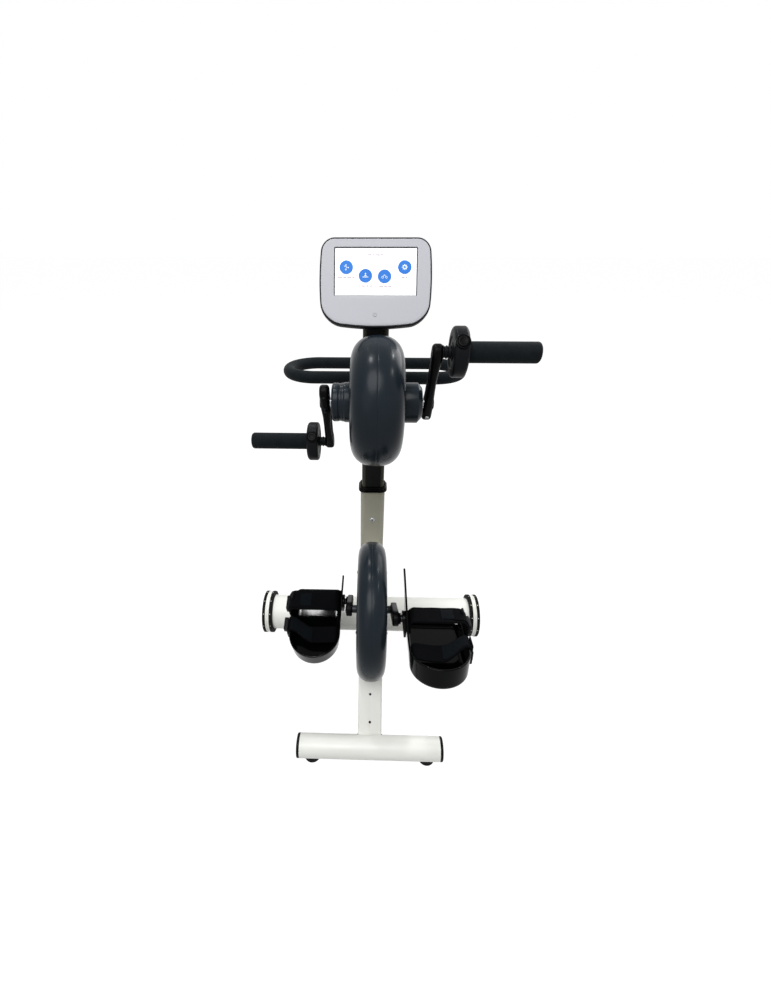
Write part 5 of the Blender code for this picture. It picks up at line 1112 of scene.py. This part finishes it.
def arm_cranks():
    """Arm cranks: rounded bars with a clamp at the shaft, bolts, and the grip spindle.

    A bar thins by a sine to the 0.8 from its shaft to its tip, by up to 26 parts in 100.
    """
    body = "arm_crankset"
    inner = ARM_HALF + SEAT + HUB_LENGTH + ARM_CRANK_GAP
    outer, half = inner + ARM_CRANK_THICK, ARM_CRANK_THICK / 2
    flat = dense(stroke((-ARM_CRANK_TAIL, 0), (ARM_CRANK, 0), ARM_CRANK_R, ARM_CRANK_R - 0.001, 33), 0.006)
    bar = raised(flat, -half, half, 0.0064, 8)
    share = np.clip((bar[..., 0] - 0.010) / (ARM_CRANK - 0.024), 0, 1)
    bar[..., 2] *= 1 - 0.26 * np.sin(pi * share) ** 0.8
    cap = [(0, 0.0016), (0.004, 0.0016), (0.005, 0.0008), (0.0105, 0.0016), (0.012, 0), (0.012, -0.001), (0, -0.001)]
    waist, neck_end = SPINDLE_R - 0.0015, SPINDLE_NECK + 0.002
    neck = [(0, 0), (SPINDLE_R, 0), (SPINDLE_R, 0.003), (waist, 0.0038), (waist, 0.0058), (SPINDLE_R, 0.0066),
            (SPINDLE_R, 0.0088), (waist, 0.0096), (waist, 0.0118), (SPINDLE_R, 0.0126), (SPINDLE_R, neck_end),
            (0, neck_end)]
    pin = sleeve(0, SPINDLE_PIN_R, 0, SPINDLE_NECK + FLANGE_THICK + GRIP_LENGTH - GRIP_END + 0.002)
    # Where the clamp's bolts stand along the crank, their radius and their steel
    bolts = {"left": ((-ARM_CRANK_TAIL, 0.004, 0.012), 0.0028, DARK_STEEL),
             "right": ((0.002 - ARM_CRANK_TAIL,), 0.0040, STEEL)}
    for side, sign in SIDES:
        along, across = crank_way(sign, ARM_CRANK_ANGLE)
        out = sign * X_AXIS
        shaft = np.array((ARM_X + sign * (inner + outer) / 2, ARM_Y, ARM_Z))
        slit = box_at(shaft - along * (ARM_CRANK_TAIL + 0.004), (0.0012, 0.036, 0.03), 0.0002, (across, along, X_AXIS))
        piece("arm_crank_fine_" + side, [surface(placed(bar, shaft, along, across, X_AXIS))], CRANK, body,
              tools=[[slit]])
        turned("arm_crank_cap_" + side, cap, shaft + out * (half - 0.0003), out, BLACK, body, 0.0005)
        shifts, radius, steel = bolts[side]
        places = [shaft + along * shift + across * sign * (ARM_CRANK_R - 0.0004) for shift in shifts]
        screws("clamp_bolt_" + side, places, across * sign, radius, 0.0026, steel, body)
        end = np.array((ARM_X + sign * (outer - 0.002), ARM_Y, ARM_Z)) + ARM_CRANK * along
        turned("spindle_neck_" + side, neck, end, out, BLACK, body, 0.0004, fine=2, steps=64)
        turned("spindle_pin_" + side, pin, end, out, DARK_STEEL, body, 0.001, steps=40)
        hand_grip(side, out, np.array((ARM_X, *end[1:])), outer + SPINDLE_NECK + RUNNING)


def hand_grip(side, out, at, start):
    """Guard flange with a ringed button in its rim, and the foam grip."""
    far = start + FLANGE_THICK
    bore, body = SPINDLE_PIN_R + RUNNING, "grip_" + side
    profile = [(bore, far), (FLANGE_R - FLANGE_EDGE, far), (FLANGE_R, far - FLANGE_EDGE),
               (FLANGE_R, start + FLANGE_EDGE), (FLANGE_R - 0.003, start + 0.0008), (0.027, start),
               (0.026, start + 0.0016), (0.0165, start + 0.0016), (0.0155, start), (bore, start)]
    aim = np.array((0, cos(BUTTON_ANGLE), sin(BUTTON_ANGLE)))
    middle = at + out * (start + far) / 2 + aim * FLANGE_R
    well = lathed(sleeve(0, BUTTON_R + RUNNING, -BUTTON_LENGTH, 0.01), middle, aim, 64)
    turned("grip_flange_fine_" + side, profile, at, out, BLACK, body, 0.0022, fine=4, steps=128, ring=True,
           tools=[[well]])
    inner, outer = BUTTON_R + 0.0006, BUTTON_R + 0.0030
    turned("button_ring_" + side, [(inner, -0.004), (outer, -0.004), (outer, 0.0016), (inner, 0.0024)], middle, aim,
           CRANK, body, 0.0008, steps=72, ring=True)
    low, high = BUTTON_PROUD - BUTTON_LENGTH + BUTTON_TRAVEL / 2, BUTTON_PROUD
    cap = [(0, high - 0.0008), (0.0045, high - 0.0006), (0.0062, high), (BUTTON_R - 0.0008, high - 0.0002),
           (BUTTON_R, high - 0.0012), (BUTTON_R, low), (0, low)]
    turned("grip_button_fine_" + side, cap, middle, aim, CRANK, "button_" + side, 0.0008, fine=4, steps=64)
    near = far + SEAT
    top = near + GRIP_LENGTH
    profile = [(0, top - 0.0008), (0.006, top - 0.0006), (0.0095, top)]
    profile += list(arc((GRIP_R - GRIP_ROUND, top - GRIP_ROUND), GRIP_ROUND, 88, 0, 8))
    profile += [(GRIP_R, near + 0.003), (GRIP_R - 0.0008, near), (bore, near), (bore, top - GRIP_END),
                (0, top - GRIP_END)]
    turned("foam_grip_fine_" + side, profile, at, out, FOAM, body, steps=96)


def ring_handlebar():
    """The ring handlebar, foam covered, and its welded bracket with two clamp bolts.

    The ring is a circle swept along a level closed path, in the plane of the path's normal and the vertical.
    """
    bend = RING_DEPTH / 2
    straight = RING_WIDTH / 2 - bend - RING_R
    flat = dense(np.concatenate([arc((straight, bend), bend, -90, 90, 49), arc((-straight, bend), bend, 90, 270, 49)]),
                 0.006)
    path = np.column_stack([flat + (0, RING_NEAR_Y), np.full(len(flat), RING_Z)])
    along = unit(np.roll(path, -1, 0) - np.roll(path, 1, 0))
    side = unit(np.cross(along, Z_AXIS))
    turn = np.linspace(0, 2 * pi, 40, endpoint=False)[None, :, None]
    ring = path[:, None] + RING_R * (np.cos(turn) * side[:, None] + np.sin(turn) * np.cross(along, side)[:, None])
    piece("ring_handlebar_fine", [surface(ring, ring=True)], FOAM, "mast")
    start = COLUMN_Y + MAST_DEPTH / 2 + SEAT
    size = (RING_BRACKET_WIDTH, RING_BRACKET_HEIGHT, RING_NEAR_Y - start)
    arm = box_at((0, (start + RING_NEAR_Y) / 2, RING_Z), size, 0.0012, BACKWARD, 0.003)
    # The bracket shares the mast's olive paint, tinted lighter as painted edge sheen
    piece("ring_bracket", [arm], EDGE_SHEEN_MAST_PAINT, "mast")
    for side, sign in SIDES:
        at = (sign * 0.012, start + 0.016, RING_Z + RING_BRACKET_HEIGHT / 2)
        piece("ring_bolt_" + side, [socket_screw(at, Z_AXIS, 0.0048, 0.0032)], STEEL, "mast")


# Display

def on_face(grid):
    """Points of (across, up the face, out of the face) in the display's plane."""
    return placed(grid, FACE, X_AXIS, UP, OUT)


def display_outline(edge, chin=0.0):
    """The display's face outline, anticlockwise: a rectangle with round corners, bent on its sides and foot.

    The sides draw in above and below their widest place by the square of the height from it, and the foot
    rises towards its corners by the square of the distance from the middle.
    """
    wide, top = DISPLAY_HALF_WIDTH - edge, DISPLAY_HALF_HEIGHT - edge
    foot, upper, lower = top - chin, TOP_CORNER - edge, LOW_CORNER - edge
    right = np.concatenate([arc((wide - lower, lower - foot), lower, -90, 0, 21),
                            arc((wide - upper, top - upper), upper, 0, 90, 21)])
    x, y = dense(np.concatenate([right, right[::-1] * (-1, 1)]), 0.003).T
    x = x * (1 - SIDE_BEND * ((y - WIDEST_UP) / DISPLAY_HALF_HEIGHT) ** 2)
    y = y + FOOT_CROWN * np.clip(-y / foot, 0, 1) * (x / DISPLAY_HALF_WIDTH) ** 2
    return np.column_stack([x, y])


def even(outline, count):
    """A closed outline resampled to evenly spaced points."""
    ring = np.vstack([outline, outline[:1]])
    run = np.concatenate([[0], np.cumsum(np.linalg.norm(np.diff(ring, axis=0), axis=1))])
    at = np.linspace(0, run[-1], count, endpoint=False)
    return np.column_stack([np.interp(at, run, column) for column in ring.T])


def by_angle(outline, angles, centre):
    """A closed star-shaped outline resampled at given angles about a centre."""
    gap = outline - centre
    turn = np.arctan2(gap[:, 1], gap[:, 0])
    order = np.argsort(turn)
    turn, gap = turn[order], gap[order]
    turn = np.concatenate([turn[-1:] - 2 * pi, turn, turn[:1] + 2 * pi])
    gap = np.concatenate([gap[-1:], gap, gap[:1]])
    return np.column_stack([np.interp(angles, turn, column) for column in gap.T]) + centre


def display_case():
    """Rear case with its recess, rounded rim, back cover with vents, and tilt lug."""
    flat = even(dense(display_outline(0), 0.004), 240)
    lip = even(dense(display_outline(DISPLAY_EDGE, DISPLAY_CHIN), 0.004), 240)
    rows = rounded_edge(flat, 0.005, -CASE_DEPTH, 5) + rounded_edge(flat, 0.0014, 0, 4, True)
    shell = surface(on_face(layers(rows + [(lip, -0.0002), (lip, -BEZEL_THICK - SEAT)])))
    hump = rectangle(HUMP_WIDTH, HUMP_HEIGHT, 0.010, 10)
    cover = surface(on_face(raised(hump, COVER_BACK, 0.002 - CASE_DEPTH, 0.005, 5)))
    slot = rectangle(0.044, 0.0024, 0.00118, 5)
    vents = [flat_shape(slot + (shift, 0.006 + i * 0.0048), COVER_BACK - 0.002, COVER_BACK + 0.0035)
             for i in range(7) for shift in (-0.034, 0.034)]
    piece("display_case_fine", [shell], BLACK, "display")
    piece("display_cover", [cover], BLACK, "display", tools=[vents])
    half = TILT_LUG_WIDTH / 2
    turned("tilt_barrel", sleeve(TILT_PIN_R + RUNNING, TILT_LUG_R, -half, half), TILT_PIVOT, X_AXIS, BLACK, "display",
           0.0012, steps=72, ring=True)
    arm = box_at(FACE + OUT * (COVER_BACK - TILT_BACK / 2 + 0.004), (TILT_LUG_WIDTH - 0.004, TILT_LUG_R * 1.6, 0.010),
                 0.0016, (X_AXIS, UP, OUT))
    piece("tilt_web", [arm], BLACK, "display")
    places = [on_face((x, up, COVER_BACK)) for up in (-0.034, 0.034) for x in (-0.057, 0.057)]
    screws("cover_screw", places, -OUT, 0.0024, 0.0010, DARK_STEEL, "display")


def bezel():
    """Silver bezel with soft outer edge, sloped window edge and the key's hole."""
    centre = np.array((0, 0.008))
    window = dense(rectangle(SCREEN_WIDTH + 2 * SEAT, SCREEN_HEIGHT + 2 * SEAT, 0.0014, 5) + (0, SCREEN_UP), 0.003)
    outer = dense(display_outline(DISPLAY_EDGE + SEAT, DISPLAY_CHIN), 0.003)
    angles = np.linspace(-pi, pi, 260, endpoint=False)
    hole, rim = by_angle(window, angles, centre), by_angle(outer, angles, centre)
    rows = [(rim, -BEZEL_THICK), (rim, -0.0010), (inset(rim, 0.0003), -0.0003), (inset(rim, 0.0010), 0)]
    rows += [(hole + (rim - hole) * share, 0) for share in (0.9, 0.7, 0.5, 0.3, 0.12)]
    rows += [(inset(hole, -0.0004), 0), (inset(hole, -0.0001), -0.0001), (hole, -0.0004), (hole, -BEZEL_THICK)]
    at = FACE - UP * KEY_DOWN
    well = lathed(sleeve(0, KEY_R + 0.0002, -0.01, 0.01), at, OUT, 48)
    piece("display_bezel_fine", [surface(on_face(layers(rows)), ring=True)], SILVER, "display", tools=[[well]])
    low, high = KEY_TRAVEL - BEZEL_THICK + SEAT, KEY_PROUD
    cap = [(0, high - 0.0003), (0.0018, high - 0.0002), (0.0026, high), (KEY_R, high), (KEY_R, low), (0, low)]
    turned("display_key_fine", cap, at, OUT, KEY_GREY, "display_button", 0.0004, steps=48)


def flat_shape(outline, base, high, edge=0.0, steps=2):
    """A plate on the display's face, from one height above it to another."""
    return surface(on_face(raised(outline, base, high, edge, steps)))


def screen():
    """Screen surround, lit panel, pale caption bars, and four plain round icons of our own."""
    face = SCREEN_THICK - BEZEL_THICK
    flat = rectangle(SCREEN_WIDTH, SCREEN_HEIGHT, 0.0012, 5) + (0, SCREEN_UP)
    piece("screen_surround_fine", [flat_shape(flat, -BEZEL_THICK, face, 0.0004)], GLASS, "display", "display_screen")
    flat = rectangle(SCREEN_WIDTH - 0.0030, SCREEN_HEIGHT - 0.0022, 0.0008, 4) + (0, SCREEN_UP - 0.0006)
    top = face + 0.00025
    piece("lit_panel", [flat_shape(flat, face - 0.0002, top)], PANEL, "display")
    base, high = top - 0.0001, top + 0.0002
    bars = []
    for (x, up), lengths in CAPTIONS:
        start = x - (sum(lengths) + CAPTION_GAP * (len(lengths) - 1)) * MM / 2
        for length in lengths:
            flat = rectangle(length * MM, 0.0020, 0.0008, 4) + (start + length * MM / 2, SCREEN_UP + up)
            bars.append(flat_shape(flat, base, high - 0.0001))
            start += (length + CAPTION_GAP) * MM
    piece("caption_bars", bars, PALE_INK, "display")
    for i, ((x, up), marks, holes) in enumerate(ICONS):
        middle = np.array((x, SCREEN_UP + up))
        for name, shapes, low, lift, ink in (("icon_disc", [circle(0, 0, 12.4, 73)], base, high, ICON_BLUE),
                                             ("icon_mark", marks, high - 0.0001, high + 0.0001, ICON_WHITE),
                                             ("icon_hole", holes, high, high + 0.0002, ICON_BLUE)):
            if shapes:
                piece("%s_%d" % (name, i + 1), [flat_shape(shape * MM + middle, low, lift) for shape in shapes], ink,
                      "display")


def circle(x, y, radius, count=33):
    return arc((x, y), radius, 0, 360, count)[:-1]


def cog(radius, tooth, count):
    """A plain toothed wheel's outline: its radius steps out wherever a cosine of the teeth's number is above 0."""
    turn = np.linspace(0, 2 * pi, count * 8, endpoint=False)
    reach = radius + tooth * (np.cos(turn * count) > 0)
    return np.column_stack([reach * np.cos(turn), reach * np.sin(turn)])


# Places on the screen in metres; the captions' bars and the icons' marks and holes in millimetres
MM, CAPTION_GAP = 0.001, 1.4
CAPTIONS = (((0, 0.0297), (7, 4, 9, 6)), ((-0.0547, -0.0106), (9, 6, 8, 5)), ((-0.0189, -0.0262), (5, 8, 4, 6)),
            ((0.0182, -0.0266), (8, 6, 7)), ((0.0536, -0.0104), (6, 4)))
ICONS = (
    ((-0.0547, 0.0074), [circle(-0.8, 4.0, 1.3), circle(-2.8, 1.6, 0.9), circle(3.6, -0.4, 1.3),
                         circle(-0.8, -4.4, 1.3), stroke((-0.8, 2.0), (0.6, -0.6), 0.7),
                         stroke((0.6, -0.6), (-0.8, -3.0), 0.6), stroke((0.6, -0.6), (3.0, -0.4), 0.45)], []),
    ((-0.0189, -0.0078), [circle(0, 3.8, 1.3), np.array([(-2.6, -0.6), (2.6, -0.6), (0, 2.6)]),
                          stroke((-4.8, -2.2), (4.8, -2.2), 0.8)], []),
    ((0.0165, -0.0088), [circle(-3.6, -1.6, 2.2), circle(3.6, -1.6, 2.2), stroke((-3.6, -1.4), (-0.6, 1.8), 0.45),
                         stroke((0.6, 1.8), (3.6, -1.4), 0.45), stroke((-1.4, 2.4), (1.4, 2.4), 0.45)],
     [circle(-3.6, -1.6, 1.2), circle(3.6, -1.6, 1.2)]),
    ((0.0536, 0.0078), [cog(4.0, 1.4, 8)], [circle(0, 0, 1.8)]),
)


def neck():
    """The mast's head: cap and two ears that hold the tilt pin, and the pin with its end caps."""
    base = MAST_TOP + SEAT
    y, z = TILT_PIVOT[1:]
    side_y = MAST_DEPTH / 2 - 0.002
    cap = box_at((0, COLUMN_Y, base + NECK_CAP / 2), (MAST_WIDTH, MAST_DEPTH, NECK_CAP), 0.0016,
                 corner=COLUMN_EDGE - COLUMN_WALL)
    flat = np.array([(side_y, 0.001), (side_y, NECK_CAP), *arc((y - COLUMN_Y, z - base), TILT_LUG_R, 60, 250, 33),
                     (-side_y, 0.001)])
    ear = raised(flat, -TILT_EAR / 2, TILT_EAR / 2, 0.0014, 4)
    parts = [cap]
    for side, sign in SIDES:
        middle = DISPLAY_X + sign * (TILT_LUG_WIDTH / 2 + RUNNING + TILT_EAR / 2)
        parts.append(surface(placed(ear, (middle, COLUMN_Y, base), Y_AXIS, Z_AXIS, X_AXIS)))
    piece("display_neck_fine", parts, NECK, "mast")
    length = TILT_LUG_WIDTH / 2 + RUNNING + TILT_EAR
    turned("tilt_pin_fine", sleeve(0, TILT_PIN_R, length, -length), TILT_PIVOT, X_AXIS, STEEL, "mast", 0.0006, steps=40)


# Assembly

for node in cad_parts.values():
    for slot in node.material_slots:
        name = slot.material.name.split(".")[0] if slot.material else None
        if name in SLOTS:
            slot.material = SLOTS[name][0]

front_bar()
beams()
rear()
column()
inlet()
leg_unit()
leg_cranks()
for side, sign in SIDES:
    foot_shell(side, sign)
    straps(side, sign)
arm_unit()
arm_cranks()
ring_handlebar()
display_case()
bezel()
screen()
neck()
